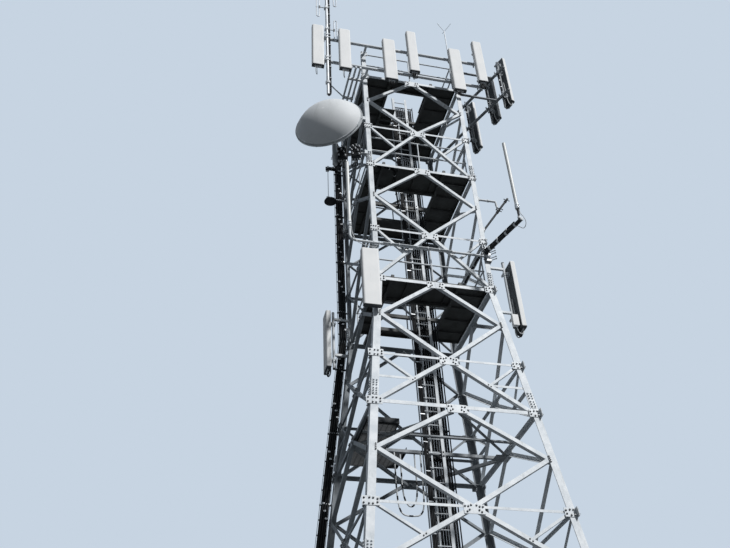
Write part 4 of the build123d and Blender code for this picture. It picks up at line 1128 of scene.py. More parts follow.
# %% [markdown]
# ## Radio units
# Under the dish the photograph has a dark cluster with bright round knobs. Radio units
# hang there on the mount's lower arm: dark cases with cooling fins, held by bright
# grips, with bright plugs and black leads. The case is one block with a row of thin
# blocks as fins, and the set is copied along the arm.

# %% Radio units beside the dish
ARM_START = np.array([-1280.0, LEG_MIDDLE, MOUNT_ARMS[0]])
ARM_RUN = (*MOUNT, MOUNT_ARMS[0]) - ARM_START
ARM_TURN = -math.degrees(math.atan2(ARM_RUN[1], -ARM_RUN[0]))
PORTS = (-80.0, -30.0, 30.0, 80.0)
PORT_ROWS = [(19, 0), (19, 8), (14, 9), (14, 30), (17, 31), (17, 46)]
KNOBS = [(-60, 90), (15, 104), (78, 62), (-92, -30), (42, -66), (-8, 10), (-70, -150), (70, -190)]
KNOB_ROWS = [(20, 0), (20, 10), (15, 12), (15, 34), (9, 40)]
case = [block(-110, 110, -156, -46, -250, 130, 8.0), block(-95, 95, -46, -34, -190, 90)]
fins = [block(x - 3, x + 3, -178, -154, -230, 110, 0.5) for x in np.linspace(-96, 96, 12)]
grips = [block(x - 18, x + 18, y, y + 9, -44, 44) for x in (-70.0, 70.0) for y in (-38, 29)]
grips += [
    studs(112.0, 14.0, [(x, -60, z) for x in (-70.0, 70.0) for z in (-37, 37)], (0, 1, 0)),
    lathed(PORT_ROWS, [(x, -100, -250) for x in PORTS], (0, 0, -1), 12),
    lathed(KNOB_ROWS, [(x, -176, z) for x, z in KNOBS], (0, -1, 0), 14),
]
leads = []
for k, x in enumerate(PORTS):
    ends = (x, -100, -290), (x * 0.6 - 60, 48, -40)
    path = bowed([ends[0], (x + 8, -100, -470 - 30 * k), (x - 90, 60, -480), ends[1]], 18)
    leads.append(carried(JUMPER_R * ring(8), path))
units = about_z([ARM_START + share * ARM_RUN for share in (0.3, 0.74)], ARM_TURN)
piece("radio_units", placed(merged(case + fins), units), dark_paint_and_shade)
piece("radio_grips", placed(merged(grips), units), stainless)
piece("radio_leads", placed(merged(leads), units), jacket)

# %% [markdown]
# ## Tube antennas
# The two tall white tubes are whip elements inside a pulled glass-fibre tube. A clamped
# metal ferrule holds each one at its foot, and a moulded plug closes its top. Tubes,
# ferrules and bands are all rows of radius and height on the tube's own line.

# %% Tube antennas
BOOM_Y, BOOM_Z = -1300.0, 12850.0
RIGHT_ROOT, RIGHT_TIP = np.array([1190.0, -1300.0, 12960.0]), np.array([1526.0, -2380.0, 12960.0])
TUBES = [
    ("tube_antenna_left", -1747.0, BOOM_Y, 13223.0, 15115.0),
    ("tube_antenna_right", RIGHT_TIP[0], RIGHT_TIP[1], 13270.0, 15250.0),
]
TUBE_R, COLLAR_R, COLLAR_LONG = 38.0, 44.0, 140.0
ferrules = []
for name, x, y, foot, top in TUBES:
    axis = (x, y, 0.0)
    waist = foot + COLLAR_LONG
    rows = [
        (TUBE_R, waist - 6), (TUBE_R, top - 36), (TUBE_R - 1.5, top - 34), (TUBE_R - 1.5, top - 24),
        (TUBE_R, top - 22), (TUBE_R, top - 12), (TUBE_R * 0.85, top - 4), (TUBE_R * 0.5, top),
    ]
    shell = piece(name + "_shell", lathed(rows, axis, sides=28), tube_skin)
    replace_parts(shell, name)
    rows = [
        (COLLAR_R - 6, foot), (COLLAR_R, foot + 3), (COLLAR_R, waist - 26),
        (COLLAR_R - 3, waist - 20), (COLLAR_R - 3, waist - 6), (TUBE_R + 1, waist),
    ]
    ferrules.append(lathed(rows, axis, sides=28))
    near = y - COLLAR_R
    for z in (foot + 34.0, foot + 92.0):
        band = [(COLLAR_R + out, z + dz) for out, dz in ((0.5, -11), (3, -9), (3, 9), (0.5, 11))]
        ferrules.append(lathed(band, axis, sides=28))
        ferrules += [block(x + dx, x + dx + 6, near - 26, near, z - 10, z + 10) for dx in (-16, 10)]
        ferrules.append(studs(58.0, 8.0, (x - 29, near - 15, z), (1, 0, 0)))
piece("tube_ferrules", merged(ferrules), stainless)

# %% [markdown]
# ## Booms
# The booms are plain pipes. The front one is gripped by U-bolts on plates against the
# legs, joined from lengths with sleeves, and carries a thin conduit under bands. The
# right one stands out from a plate, in collars with paired lugs.

# %% U-bolts, sleeves and collars on the booms
RIGHT_BOOM_R = 42.0
SLEEVE = [(27, 0), (36, 2), (36, 10), (33, 12), (33, 148), (36, 150), (36, 158), (27, 160)]


def u_bolt(radius, reach, size):
    """U-bolt round a pipe on the X axis: a half circle on the -Y side of the pipe between
    two straight legs that run towards +Y, with nuts on their ends."""
    angle = np.linspace(0.0, math.pi, 11)
    bend = np.stack([0.0 * angle, -np.sin(angle) * radius, np.cos(angle) * radius], axis=-1)
    path = np.concatenate([[(0, reach, radius)], bend, [(0, reach, -radius)]])
    nuts = bolts(size, [(0, reach - 1.6 * size, z) for z in (radius, -radius)], (0, 1, 0))
    return merged([carried(0.5 * size * ring(8), path, (1.0, 0.0, 0.0)), nuts])


booms = []
for x in (LEG_MIDDLE, -LEG_MIDDLE):
    booms.append(block(x - 62, x + 62, BOOM_Y + 39, -HALF, BOOM_Z - 74, BOOM_Z + 74))
    spots = [(x + dx, BOOM_Y, BOOM_Z) for dx in (-56.0, 56.0)]
    booms.append(placed(u_bolt(32.0, 74.0, 12.0), about_z(spots)))
x, y, z = RIGHT_ROOT
boom_way = unit(RIGHT_TIP - RIGHT_ROOT)[0]
collars = [RIGHT_ROOT + boom_way * far for far in (150.0, 420.0, 690.0, 980.0)]
lug = merged([
    block(44, 84, -20, 20, -13, -7), block(44, 84, -20, 20, 7, 13), studs(58.0, 10.0, (66, 0, -29)),
])
upright_lug = placed(lug, facing((0, 0, 0), (0, 1, 0), (1, 0, 0)))
plate_bolts = [(x + dx, -HALF - 12, z + dz) for dx in (-62, 44) for dz in (-66, 66)]
booms += [
    block(x - 78, x + 60, -HALF - 12, -HALF, z - 84, z + 84),
    bolts(16.0, plate_bolts, (0, -1, 0)),
    lathed([(44, -22), (48, -20), (48, 20), (44, 22)], collars, boom_way, 24),
    placed(upright_lug, facing(collars[:3], boom_way)),
    end_cap(RIGHT_BOOM_R, RIGHT_TIP + boom_way * 60.0, boom_way),
    lathed([(24, -2), (36, 0), (36, 60), (30, 66), (25, 68)], RIGHT_TIP + (0, 0, 38)),
    lathed([(26, 0), (33, 3), (33, 40), (26, 44)], (TUBES[0][1], BOOM_Y, 13150.0)),
    lathed(SLEEVE, [(x, BOOM_Y, BOOM_Z) for x in (-1090.0, -560.0, 330.0)], (1, 0, 0), 24),
    rod((-1060, BOOM_Y - 38, BOOM_Z + 4), (420, BOOM_Y - 38, BOOM_Z + 4), 12.0, 12),
]
booms += [
    block(x - 7, x + 7, BOOM_Y - 52, BOOM_Y + 28, BOOM_Z - 29, BOOM_Z + 29)
    for x in (-900.0, -720.0, -330.0, -110.0, 140.0)
]
piece("boom_clamps", merged(booms), galvanised)

# %% [markdown]
# ## Folded dipoles
# A folded dipole is one aluminium tube bent into a long flat loop, fed across a gap in
# the middle of its near side. The loop is a path, two straight runs and two half
# circles, with a circle carried round it until it meets itself.

# %% Dipole mast
# Each dipole by its side of the mast and its depth under the mast's top
DIPOLES = [(1, 4400.0), (-1, 3500.0), (1, 2950.0), (-1, 2050.0), (1, 1500.0), (-1, 600.0)]
MAST_FOOT, MAST_JOINT, MAST_TOP = 16985.0, 20400.0, 23900.0
LOOP_HALF, LOOP_R, LOOP_OUT = 410.0, 35.0, 185.0


def loop_path(steps=9):
    """Closed path in the XZ plane: up the near side, over a half circle, down the far side
    and back, with its near side on X = 0."""
    angle = np.linspace(math.pi, 0.0, steps)
    reach = LOOP_HALF - LOOP_R
    over = np.stack([
        LOOP_R + LOOP_R * np.cos(angle), 0.0 * angle, reach + LOOP_R * np.sin(angle),
    ], axis=-1)
    levels = np.linspace(-reach, reach, 5)[1:-1]
    up = np.stack([0.0 * levels, 0.0 * levels, levels], axis=-1)
    return np.concatenate([up, over, -up + (2 * LOOP_R, 0, 0), over[::-1] * (1, 1, -1)])


dipole = merged([
    carried(12.0 * ring(8), loop_path() + (LOOP_OUT, 0, 0), (0.0, 1.0, 0.0), closed=True),
    rod((MAST_R - 4, 0, 0), (LOOP_OUT - 16, 0, 0), 12.0, 12),
    rod((LOOP_OUT + 52, 0, 0), (LOOP_OUT + 88, 0, 0), 13.0, 12),
])
mast_rows = [
    (MAST_R, MAST_FOOT), (MAST_R, MAST_JOINT), (MAST_R + 5, MAST_JOINT + 2),
    (MAST_R + 5, MAST_JOINT + 160), (MAST_R, MAST_JOINT + 162), (MAST_R, MAST_TOP - 8),
    (MAST_R * 0.85, MAST_TOP - 2), (MAST_R * 0.6, MAST_TOP),
]
grip_studs = [(x, -MAST_R - 28, z) for x in (-45, 45) for z in (-20, 20)]
grip = merged([
    block(-54, 54, -MAST_R - 12, -MAST_R - 2, -34, 34),
    block(-54, 54, MAST_R + 2, MAST_R + 12, -34, 34),
    studs(2 * MAST_R + 56, 10.0, grip_studs, (0, 1, 0)),
    stacked(ring(4, math.pi / 4), [(26, -30), (26, 30)]),
])
feed = block(LOOP_OUT - 24, LOOP_OUT + 20, -17, 17, -46, 46, 5.0)
spots = [(MAST_X, MAST_Y, MAST_TOP - under) for _, under in DIPOLES]
places = about_z(spots, [0.0 if way > 0 else 180.0 for way, _ in DIPOLES])
mast = merged([lathed(mast_rows, (MAST_X, MAST_Y, 0.0), sides=24), placed(dipole, places)])
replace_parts(piece("dipole_mast_tubes", mast, aluminium), "dipole_mast")
piece("dipole_feed_blocks", placed(feed, places), cap_plastic_and_shade)
piece("dipole_clamps", placed(grip, places), galvanised)

# %% [markdown]
# ## Platforms
# The platforms are plate on joists. From below, which is how the photograph sees them,
# stiffening ribs show under the plates, and from above the raised lozenges of tread
# plate. One flat lozenge is copied over a grid, turned left and right by turns, and the
# copies over an opening are left out.

# %% Ribs and tread under and on the floors
Floor = namedtuple("Floor", "name level back openings")
WIDE_OPENING = (-850, 500, -440, 560)
FLOORS = [
    Floor("lower", 12117.4, 800.0, [WIDE_OPENING]),
    Floor("middle", 15363.0, 1164.0, [WIDE_OPENING]),
    Floor("top", 18463.0, 1164.0, [(-480, 450, -850, -250), (-150, 480, -260, 220)]),
]
FLOOR_EDGE, TREAD_EDGE, TREAD_STEP = 1164.0, 1130.0, 62.0
RIB_STEP, RIB_DEEP = 440.0, 45.0
lozenge = stacked(np.array([(1, 0), (0, 0.26), (-1, 0), (0, -0.26)]), [(23, 0), (18, 1.6)])
ribs = []
# Painted shade, with real dirt: tread and ribs take the dark floor plate.
for floor in FLOORS:
    x, y = (values.ravel() for values in np.meshgrid(
        np.arange(-TREAD_EDGE, TREAD_EDGE + 1.0, TREAD_STEP),
        np.arange(-TREAD_EDGE, floor.back - 30.0, TREAD_STEP)))
    clear = np.ones(len(x), bool)
    for x0, x1, y0, y1 in floor.openings:
        clear &= (x < x0 - 30) | (x > x1 + 30) | (y < y0 - 30) | (y > y1 + 30)
    spots = np.stack([x, y, np.full(len(x), floor.level - 0.2)], axis=-1)[clear]
    even = (np.round(x / TREAD_STEP) + np.round(y / TREAD_STEP))[clear] % 2 == 0
    tread = placed(lozenge, about_z(spots, np.where(even, 45.0, -45.0)))
    piece("tread_" + floor.name, tread, floor_plate_dirt_and_shade)
    x0, y0 = (min(opening[k] for opening in floor.openings) - 60.0 for k in (0, 2))
    x1 = max(opening[1] for opening in floor.openings) + 60.0
    high = floor.level - 5.5
    low = high - 0.5 - RIB_DEEP
    for y in np.arange(-880.0, floor.back - 60.0, RIB_STEP):
        ribs.append(block(-FLOOR_EDGE + 6, x0, y, y + 6, low, high, 1.0))
        ribs.append(block(x1, FLOOR_EDGE - 6, y, y + 6, low, high, 1.0))
    for x in np.arange(x0 + 380.0, x1 - 60.0, RIB_STEP):
        ribs.append(block(x, x + 6, -FLOOR_EDGE + 6, y0, low, high, 1.0))
piece("floor_ribs", merged(ribs), floor_plate_dirt_and_shade)

# %% [markdown]
# ## Landing
# The small landing below the lower platform is open grating: flat bars on edge, tied by
# round rods and framed by flat bars. The outer ones stand up as a toe guard. Real bars
# and gaps are modelled, because it is seen from below and the gaps show.

# %% Grating of the landing
GRATE_TOP, GRATE_DEEP, EDGE_TOP = 8980.0, 30.0, 9050.0
BAR_STEP, TIE_STEP = 34.0, 96.0
STRIPS = [(-1458.0, -876.0, -894.0, 864.0), (-876.0, -446.0, 150.0, 864.0)]
OUTER_EDGES = [
    (-1464, -870, -900, -894), (-1464, -1458, -900, 870), (-1464, -440, 864, 870),
    (-446, -440, 150, 870),
]
INNER_EDGES = [(-876, -870, -900, 150), (-870, -440, 144, 150)]
grate = []
for x0, x1, y0, y1 in STRIPS:
    bar = block(x0, x1, -1.5, 1.5, GRATE_TOP - GRATE_DEEP, GRATE_TOP, 0.5)
    shifts = [(0.0, y, 0.0) for y in np.arange(y0 + 8.0, y1 - 4.0, BAR_STEP)]
    grate.append(placed(bar, about_z(shifts)))
    starts = [(x, y0, GRATE_TOP - 5.0) for x in np.arange(x0 + 30.0, x1, TIE_STEP)]
    grate.append(lathed([(4.0, 0.0), (4.0, y1 - y0)], starts, (0, 1, 0), 6))
for edges, top in ((OUTER_EDGES, EDGE_TOP), (INNER_EDGES, GRATE_TOP)):
    grate += [block(*edge, GRATE_TOP - GRATE_DEEP, top, 1.0) for edge in edges]
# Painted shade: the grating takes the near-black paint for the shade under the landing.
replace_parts(piece("landing_grating", merged(grate), dark_paint_and_shade), "landing")

# %% [markdown]
# ## Handrail fittings
# Each post stands in a short socket on a round flange, held by four small bolts. One
# socket is made at the origin and copied under every post.

# %% Post sockets
RAIL = 1130.0
foot = merged([
    lathed([(46, 0), (48, 1.5), (48, 6), (46, 8)]),
    lathed([(22, 7), (22, 50), (19, 54), (16, 55)], sides=16),
    bolts(8.0, [(33 * math.cos(a), 33 * math.sin(a), 8.0) for a in (0.785, 2.356, 3.927, 5.498)]),
])
sockets = []
for floor in FLOORS:
    rear = floor.back - 34.0
    posts = [(x, y) for x in (-RAIL, 0.0, RAIL) for y in (-RAIL, rear)]
    posts += [(-RAIL, 0.0), (RAIL, 0.0)]
    sockets.append(placed(foot, about_z([(x, y, floor.level) for x, y in posts])))
piece("handrail_sockets", merged(sockets), galvanised)

# %% [markdown]
# ## Cable runs
# Feeder cables are clipped to every rung of their ladder. A clip is a pair of moulded
# blocks drawn on to the cable by a bolt, with a bright steel saddle over it. The same
# clips hold the second run to the brackets outside the back-left leg.

# %% Cable clips
FEEDER_R, RUN_R = 20.0, 16.0
FEEDER_PITCH, RUN_PITCH = 52.0, 45.0
LADDER_MIDDLE, FEEDER_Y = 205.0, 180.0
RUN_OUT = 60.0
# How far in from the leg's back face the run's cables lie: past the brackets and a gap
RUN_BACK = 33.61
# Lowest one, step and number of the ladder's rungs and of the run's brackets
RUNG_FOOT, RUNG_STEP, RUNG_COUNT = 465.0, 600.0, 31
BRACKET_FOOT, BRACKET_STEP, BRACKET_COUNT = 1040.0, 1480.0, 12


def cable_clip(radius):
    """Clip at z = 0 round a cable along Z, with its bolt towards +Y: a plastic collar, a
    steel saddle and the bolt through both."""
    rows = [(radius + 3.5, -13), (radius + 5.0, -11), (radius + 5.0, 11), (radius + 3.5, 13)]
    saddle = block(-radius - 8, radius + 8, radius + 4, radius + 8, -15, 15, 1.5)
    bolt_spot = (0, radius + 8, 0)
    return merged([stacked(oblong(2.0, 2.0, 0.5), rows), saddle, bolts(9.0, bolt_spot, (0, 1, 0))])


rungs = RUNG_FOOT + RUNG_STEP * np.arange(RUNG_COUNT)
feeders = LADDER_MIDDLE + FEEDER_PITCH * (np.arange(9) - 4.0)
spots = [(x, FEEDER_Y, z) for z in rungs for x in feeders]
clips = [placed(cable_clip(FEEDER_R), about_z(spots))]
run_levels = BRACKET_FOOT + BRACKET_STEP * np.arange(BRACKET_COUNT)
corner = heel(run_levels)
for k in range(4):
    x = -corner - RUN_OUT - RUN_PITCH * k
    y = corner - RUN_BACK - RUN_R / math.cos(LEAN)
    spots = np.stack([x, y, run_levels], axis=-1)
    clips.append(placed(cable_clip(RUN_R), about_z(spots, 180.0)))
piece("cable_clips", merged(clips), stainless)

# %% [markdown]
# ## Along the ladders
# Bolts hold the cable ladder's rungs, and angle cleats hold the climbing ladder's stiles
# to the beams. An earth strip, which leads lightning to the ground, and a thin conduit
# run up beside the ladder on clips.

# %% Ladder cleats, earth strip and conduit
BEAM_LEVELS = (2890.0, 5890.0, 8890.0, 12050.0, 15300.0, 18400.0)
STRIP_FOOT, STRIP_TOP = 360.0, 18380.0
cleat_bolts = bolts(M16, [(0, -8, -36), (0, -8, 36)], (0, -1, 0))
cleat = merged([block(-34, 34, -8, 0, -60, 60), cleat_bolts])
cleats = [
    bolts(12.0, [(x, 160.0, z) for z in rungs for x in (-30.0, 440.0)], (0, 1, 0)),
    placed(cleat, about_z([(x, 0.0, z) for z in BEAM_LEVELS for x in (-95.0, 235.0)])),
]
piece("ladder_cleats", merged(cleats), fastener)
beside = [
    block(-4, 26, 46, 50, STRIP_FOOT, STRIP_TOP, 1.0),
    rod((-166, 36, STRIP_FOOT), (-166, 36, STRIP_TOP - 80.0), 14.0, 12),
]
for z in BEAM_LEVELS:
    beside.append(block(-10, 32, 40, 46, z - 16, z + 16))
    beside.append(block(-190, -142, 20, 24, z - 14, z + 14))
piece("earth_strip_and_conduit", merged(beside), galvanised)

# %% [markdown]
# ## Cables held to the steel
# Between the feeder ladder and the antennas, cables are strapped to whatever steel is
# near: a handrail, a boom, a mast. They can't swing, so they are tubes carried along
# straight runs and short bends, with straps that draw each bundle together. A route is
# sampled every 60 mm and averaged with its neighbours, which rounds its corners.

# %% Strapped bundles
SAMPLE = 60.0


def strapped(route, offsets, radius, spacing):
    """Bundle along a route: each cable is the route moved sideways by its own offset, with a
    circle carried along it, and a strap every `spacing` round the whole bundle."""
    route, offsets = np.array(route, float), np.array(offsets, float)
    steps = np.linalg.norm(np.diff(route, axis=0), axis=1)
    length = np.concatenate([[0.0], np.cumsum(steps)])
    at = np.linspace(0.0, length[-1], max(int(length[-1] / SAMPLE), 8))
    dense = np.stack([np.interp(at, length, route[:, k]) for k in range(3)], axis=-1)
    weights = np.array([1.0, 2.0, 3.0, 2.0, 1.0]) / 9.0
    padded = np.pad(dense, ((2, 2), (0, 0)), mode="edge")
    smooth = sum(weight * padded[k:k + len(dense)] for k, weight in enumerate(weights))
    smooth[0], smooth[-1] = dense[0], dense[-1]
    cables = [carried(radius * ring(7), smooth + offset) for offset in offsets]
    middle = np.mean(offsets, axis=0)
    reach = np.abs(offsets - middle).max() + radius + 2.0
    chosen = slice(2, -2, max(int(spacing / SAMPLE), 1))
    rows = [(reach, -8), (reach + 1.5, -7), (reach + 1.5, 7), (reach, 8)]
    way = unit(np.gradient(smooth, axis=0))[chosen]
    return cables, lathed(rows, smooth[chosen] + middle, way, 10)


across_boom = [
    (330, 150, 12500), (420, 120, 12960), (700, 60, 12985), (1060, 20, 12985), (1092, -120, 12985),
    (1092, -700, 12985), (1100, -1080, 12985), (1150, -1150, 13010), (1170, -1330, 13015),
    (1240, -1480, 13012), (1360, -1890, 13012), (1470, -2240, 13012),
]
to_dish = [
    (-1986, -1050, 16205), (-1950, -985, 16120), (-1868, -975, 16000), (-1868, -975, 15700),
    (-1860, -990, 15640), (-1500, -1085, 15644), (-1300, -1140, 15640), (-1180, -1150, 15500),
    (-1120, -1120, 15320), (-600, -1080, 15320), (-500, -700, 15320), (-200, 60, 15320),
    (60, 130, 15340), (150, 150, 15420),
]
MAST_CABLES = [(0, 0, 0), (24, 4, 0), (12, -22, 0)]
mast_line = np.array([MAST_X + 49, MAST_Y - 4, 0.0])
# Each run by route, offsets of its cables, their radius and the straps' spacing
RUNS = [
    (across_boom, [(0, 0, 0), (0, 0, 26), (0, 0, -26), (20, 20, 13)], 12.0, 300.0),
    ([mast_line + (0, 0, z) for z in (23200, 17080)], MAST_CABLES, 12.0, 420.0),
    (to_dish, [(0, 0, 0), (0, 0, 34), (22, 22, 17)], 13.0, 300.0),
]
for panel, (back, *_) in zip(PANELS[6:9], SIDE):
    beside_pole = side_spot(back) - outwards[:2] * 46.0
    ends = [(*beside_pole, pole_ends(panel)[0] + 20), (*beside_pole, 19180.0)]
    RUNS.append((ends, [(12, 0, 0), (-12, 0, 0), (0, 16, 0)], 9.0, 260.0))
held, straps = [], []
for run in RUNS:
    cables, ties = strapped(*run)
    held += cables
    straps.append(ties)
print("strapped runs:", len(RUNS), "cables:", len(held))

# %% [markdown]
# ## Straight rows of cables
# The ladder carries a second row of feeders in the gaps behind the first, pressed on by
# bars, and three thinner cables climb the other ladder's stile. The run beside the
# back-left leg has a second row too, which bends with the leg at the kink. At the
# mast's foot three cables turn up into the open pipe.

# %% Second rows, stile cables and the mast's foot
REAR_Y = 230.0
CABLE_FOOT = 380.0
STILE_CABLES = (-143.0, -111.0, -79.0)
REAR_TOP, STILE_TOP = 19040.0, 18300.0
# The leg's second row by how far out from the heel and in from the back face it lies
SECOND_OUT, SECOND_BACK = 82.5, 82.0
rear_row = LADDER_MIDDLE + FEEDER_PITCH * (np.arange(8) - 3.5)
held += [rod((x, REAR_Y, CABLE_FOOT), (x, REAR_Y, REAR_TOP), FEEDER_R, 10) for x in rear_row]
held += [rod((x, -16, CABLE_FOOT), (x, -16, STILE_TOP), RUN_R, 10) for x in STILE_CABLES]
for offset in MAST_CABLES:
    start = mast_line + (0, 0, 17082.0) + offset
    path = bowed([start, start - (0, 0, 110), (MAST_X, MAST_Y, 16880), (MAST_X, MAST_Y, 16995)], 14)
    held.append(carried(12.0 * ring(7), path, (0.4, 1.0, 0.0)))
press = block(-36, 446, REAR_Y + 20, REAR_Y + 26, -15, 15, 1.0)
press_studs = [(x, 148, z) for x in (-30, 440) for z in rungs]
stile_marks = [(STILE_CABLES[1], -34.0, 700.0 + 600.0 * k) for k in range(30)]
straps += [
    placed(press, about_z([(0.0, 0.0, z) for z in rungs])),
    studs(REAR_Y - 118.0, 10.0, press_studs, (0, 1, 0)),
    placed(block(-52, 40, -2, 1, -9, 9, 0.5), about_z(stile_marks)),
]
levels = np.linspace(300.0, 18250.0, 120)
run_clip = merged([block(-24, 24, -7, 0, -17, 17), bolts(11.0, (0, -7, 0), (0, -1, 0))])
for k in range(3):
    x, y = -heel(levels) - SECOND_OUT - RUN_PITCH * k, heel(levels) - SECOND_BACK
    path = np.stack([x, y, levels], axis=-1)
    held.append(carried(RUN_R * ring(9), path))
    straps.append(placed(run_clip, about_z(path[3 + k::7] - (0.0, 18.0, 0.0))))
piece("held_cables", merged(held), jacket)
piece("cable_straps", merged(straps), stainless)

# %% [markdown]
# ## The bent arm and its brace
# On the front-right leg a short arm bends down at its end on to a dark painted pipe that
# slants up past it. The two are clamped where they meet, and the clamp's long studs
# stand out on both sides. A Bezier curve between two straight runs makes the bend.

# %% Bent arm, brace and clamp
ARM_Y, ARM_Z, ARM_R = LEG_MIDDLE, 14610.0, 25.0
ARM_END = (1702.0, ARM_Y, ARM_Z - 262.0)
BRACE_START, BRACE_RUN = np.array([1274.0, ARM_Y, 13687.0]), np.array([720.0, 0.0, 1088.0])
BRACE_TIP = BRACE_START + BRACE_RUN
bend = bowed([
    (1650, ARM_Y, ARM_Z + 9), (1688, ARM_Y, ARM_Z + 10), (1676, ARM_Y, ARM_Z - 20),
    (1682, ARM_Y, ARM_Z - 70),
], 9)
arm_path = np.concatenate([[(HALF + 15, ARM_Y, ARM_Z), (1450, ARM_Y, ARM_Z + 4)], bend, [ARM_END]])
arm = [carried(ARM_R * ring(16), arm_path, (0.0, 1.0, 0.0))]
for z in (ARM_Z, BRACE_START[2]):
    arm.append(block(HALF, HALF + 30, ARM_Y - 52, ARM_Y + 52, z - 48, z + 48, 4.0))
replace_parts(piece("arm_right_pale", merged(arm), galvanised), "arm_right")
grips = [BRACE_START + share * BRACE_RUN for share in (0.56, 0.62, 0.9)]
brace = [
    rod(BRACE_START, BRACE_TIP, 24.0, 16),
    lathed([(26, -20), (34, -17), (34, 17), (26, 20)], grips, BRACE_RUN, 16),
    studs(150.0, 16.0, [spot + (-40, -20, 60) for spot in grips], (0.8, -0.3, -0.6)),
]
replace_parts(piece("arm_right_brace", merged(brace), dark_paint_and_shade), "arm_right")

# %% [markdown]
# ## Tray behind the second cable run
# The run of cables on the back-left leg lies on a dark tray, a narrow ladder that bends
# with the leg. Its rails are flat bars, one below the kink and one above it on each
# side, and its rungs are one block copied up the leg's own line.

# %% Ladder tray behind the second cable run
TRAY_OUT, TRAY_HALF, TRAY_STEP = 127.5, 98.0, 296.0
TRAY_FOOT, TRAY_TOP = 350.0, 18200.0
tray = []
for side in (-TRAY_HALF, TRAY_HALF):
    for z0, z1 in ((TRAY_FOOT, KINK), (KINK, TRAY_TOP)):
        start, end = ((-heel(z) - TRAY_OUT + side, heel(z) - 18.0, z) for z in (z0, z1))
        way = np.subtract(end, start)
        rail = stacked(oblong(30.0, 6.0, 1.0), [(1.0, 0.0), (1.0, float(np.linalg.norm(way)))])
        tray.append(placed(rail, facing(start, way, (0.0, 1.0, 0.0))))
levels = np.arange(TRAY_FOOT + 100.0, TRAY_TOP, TRAY_STEP)
spots = np.stack([-heel(levels) - TRAY_OUT, heel(levels) - 20.0, levels], axis=-1)
tray.append(placed(block(-TRAY_HALF, TRAY_HALF, -3, 3, -14, 14, 1.0), about_z(spots)))
# Painted shade: the tray's near-black fills the run's shaded band.
piece("run_tray", merged(tray), dark_paint_and_shade)

# %% [markdown]
# ## Splitter box and corner clamps
# A small pale box hangs behind the lower right panel. Plates and long studs clamp the
# right boom's corner to the front-right leg, and their ends stand out on both sides.

# %% Splitter box and corner clamps
x, y = PANELS[10].spot
box = [
    block(x - 62, x + 62, y - 124, y - 34, 11170, 11420, 8.0),
    block(x - 66, x + 66, y - 130, y - 118, 11166, 11424, 4.0),
]
piece("splitter_box", merged(box), radome)
CLAMP_LEVELS = (12770.0, 12930.0, 13060.0)
corner_clamps = []
for z in CLAMP_LEVELS:
    for way in ((0.8, -0.6, 0.1), (-0.6, -0.8, 0.0)):
        start = np.array([1225.0, -1225.0, z]) - unit(way)[0] * 40.0
        corner_clamps.append(studs(250.0, 18.0, [start, start + (0, 0, 60)], way))
    corner_clamps.append(block(1130, 1290, -1296, -1272, z - 30, z + 30))
    corner_clamps.append(block(1272, 1296, -1290, -1130, z - 30, z + 30))
piece("corner_clamps", merged(corner_clamps), fastener)

# %% [markdown]
# ## Shadow bands round the hanging cables
# The slack pair under the beam has black bands every quarter of a metre, painted shadow
# for the stripes of shade that fall across it. A band has to follow its cable's bend, so
# the cable's curve is made once more without a bevel, its points are read, and a slightly
# wider circle is carried along short lengths of them.

# %% Shadow bands round the hanging cables
SHADOW_BAND_STEP, SHADOW_BAND_HALF = 235.0, 38.0


def cable_line(route_mm, steps=24):
    """Points along a route's spline, in millimetres, read from its curve with no bevel."""
    curve = route_curve("cable_line", route_mm, steps)
    holder = bpy.data.objects.new("cable_line", curve)
    line = bpy.data.meshes.new_from_object(holder)
    points = np.zeros(3 * len(line.vertices))
    line.vertices.foreach_get("co", points)
    bpy.data.meshes.remove(line)
    bpy.data.objects.remove(holder)
    bpy.data.curves.remove(curve)
    return 1000.0 * points.reshape(-1, 3)


# Painted shadow: black bands on the pale cables.
shadow_bands = []
for _, route, thick, _ in FREE_CABLES[4:]:
    dense = cable_line(route)
    length = np.concatenate([[0.0], np.cumsum(np.linalg.norm(np.diff(dense, axis=0), axis=1))])
    for middle in np.arange(210.0, length[-1] - 150.0, SHADOW_BAND_STEP):
        at = np.linspace(middle - SHADOW_BAND_HALF, middle + SHADOW_BAND_HALF, 6)
        path = np.stack([np.interp(at, length, dense[:, k]) for k in range(3)], axis=-1)
        shadow_bands.append(carried((thick / 2.0 + 2.0) * ring(12), path))
piece("hanging_cable_tape", merged(shadow_bands), jacket)

# %% [markdown]
# ## Small arms and the whip
# Two short arms on the back-left leg carry small antennas: a flat box and a shallow
# cone. The whip stands in a stepped base on the upper frame pipe, and its three prongs
# end in small beads.

# %% Pads, clamps and the whip's fittings
SMALL_ARMS = (16350.0, 17400.0)
SMALL_Y = 1160.0
WHIP_X, WHIP_TOP, PRONG = 985.0, 20420.0, 290.0
ARM_RING = [(28, -20), (33, -18), (33, 18), (28, 20)]
WHIP_BASE = [(30, -2), (30, 20), (22, 28), (16, 60), (14, 62)]
small = [
    lathed(ARM_RING, (1500.0, ARM_Y, ARM_Z + 5.9), (1.0, 0.0, 0.024)),
    end_cap(ARM_R, ARM_END, (0.106, 0.0, -0.994)),
    end_cap(22.0, BRACE_TIP, (0.552, 0.0, 0.834)),
    lathed(WHIP_BASE, (WHIP_X, FRAME_Y, FRAME_LEVELS[1] + 36)),
]
for z in (ARM_Z, BRACE_START[2]):
    spots = [(HALF + 30, ARM_Y + dy, z + dz) for dy in (-26, 26) for dz in (-30, 30)]
    small.append(bolts(14.0, spots, (1, 0, 0)))
for z in SMALL_ARMS:
    spots = [(-1700 + dx, 1120, z + dz) for dx in (10, 60) for dz in (-28, 28)]
    small.append(bolts(12.0, spots, (0, -1, 0)))
    small.append(end_cap(20.0, (-1702.0, SMALL_Y, z), (-1, 0, 0)))
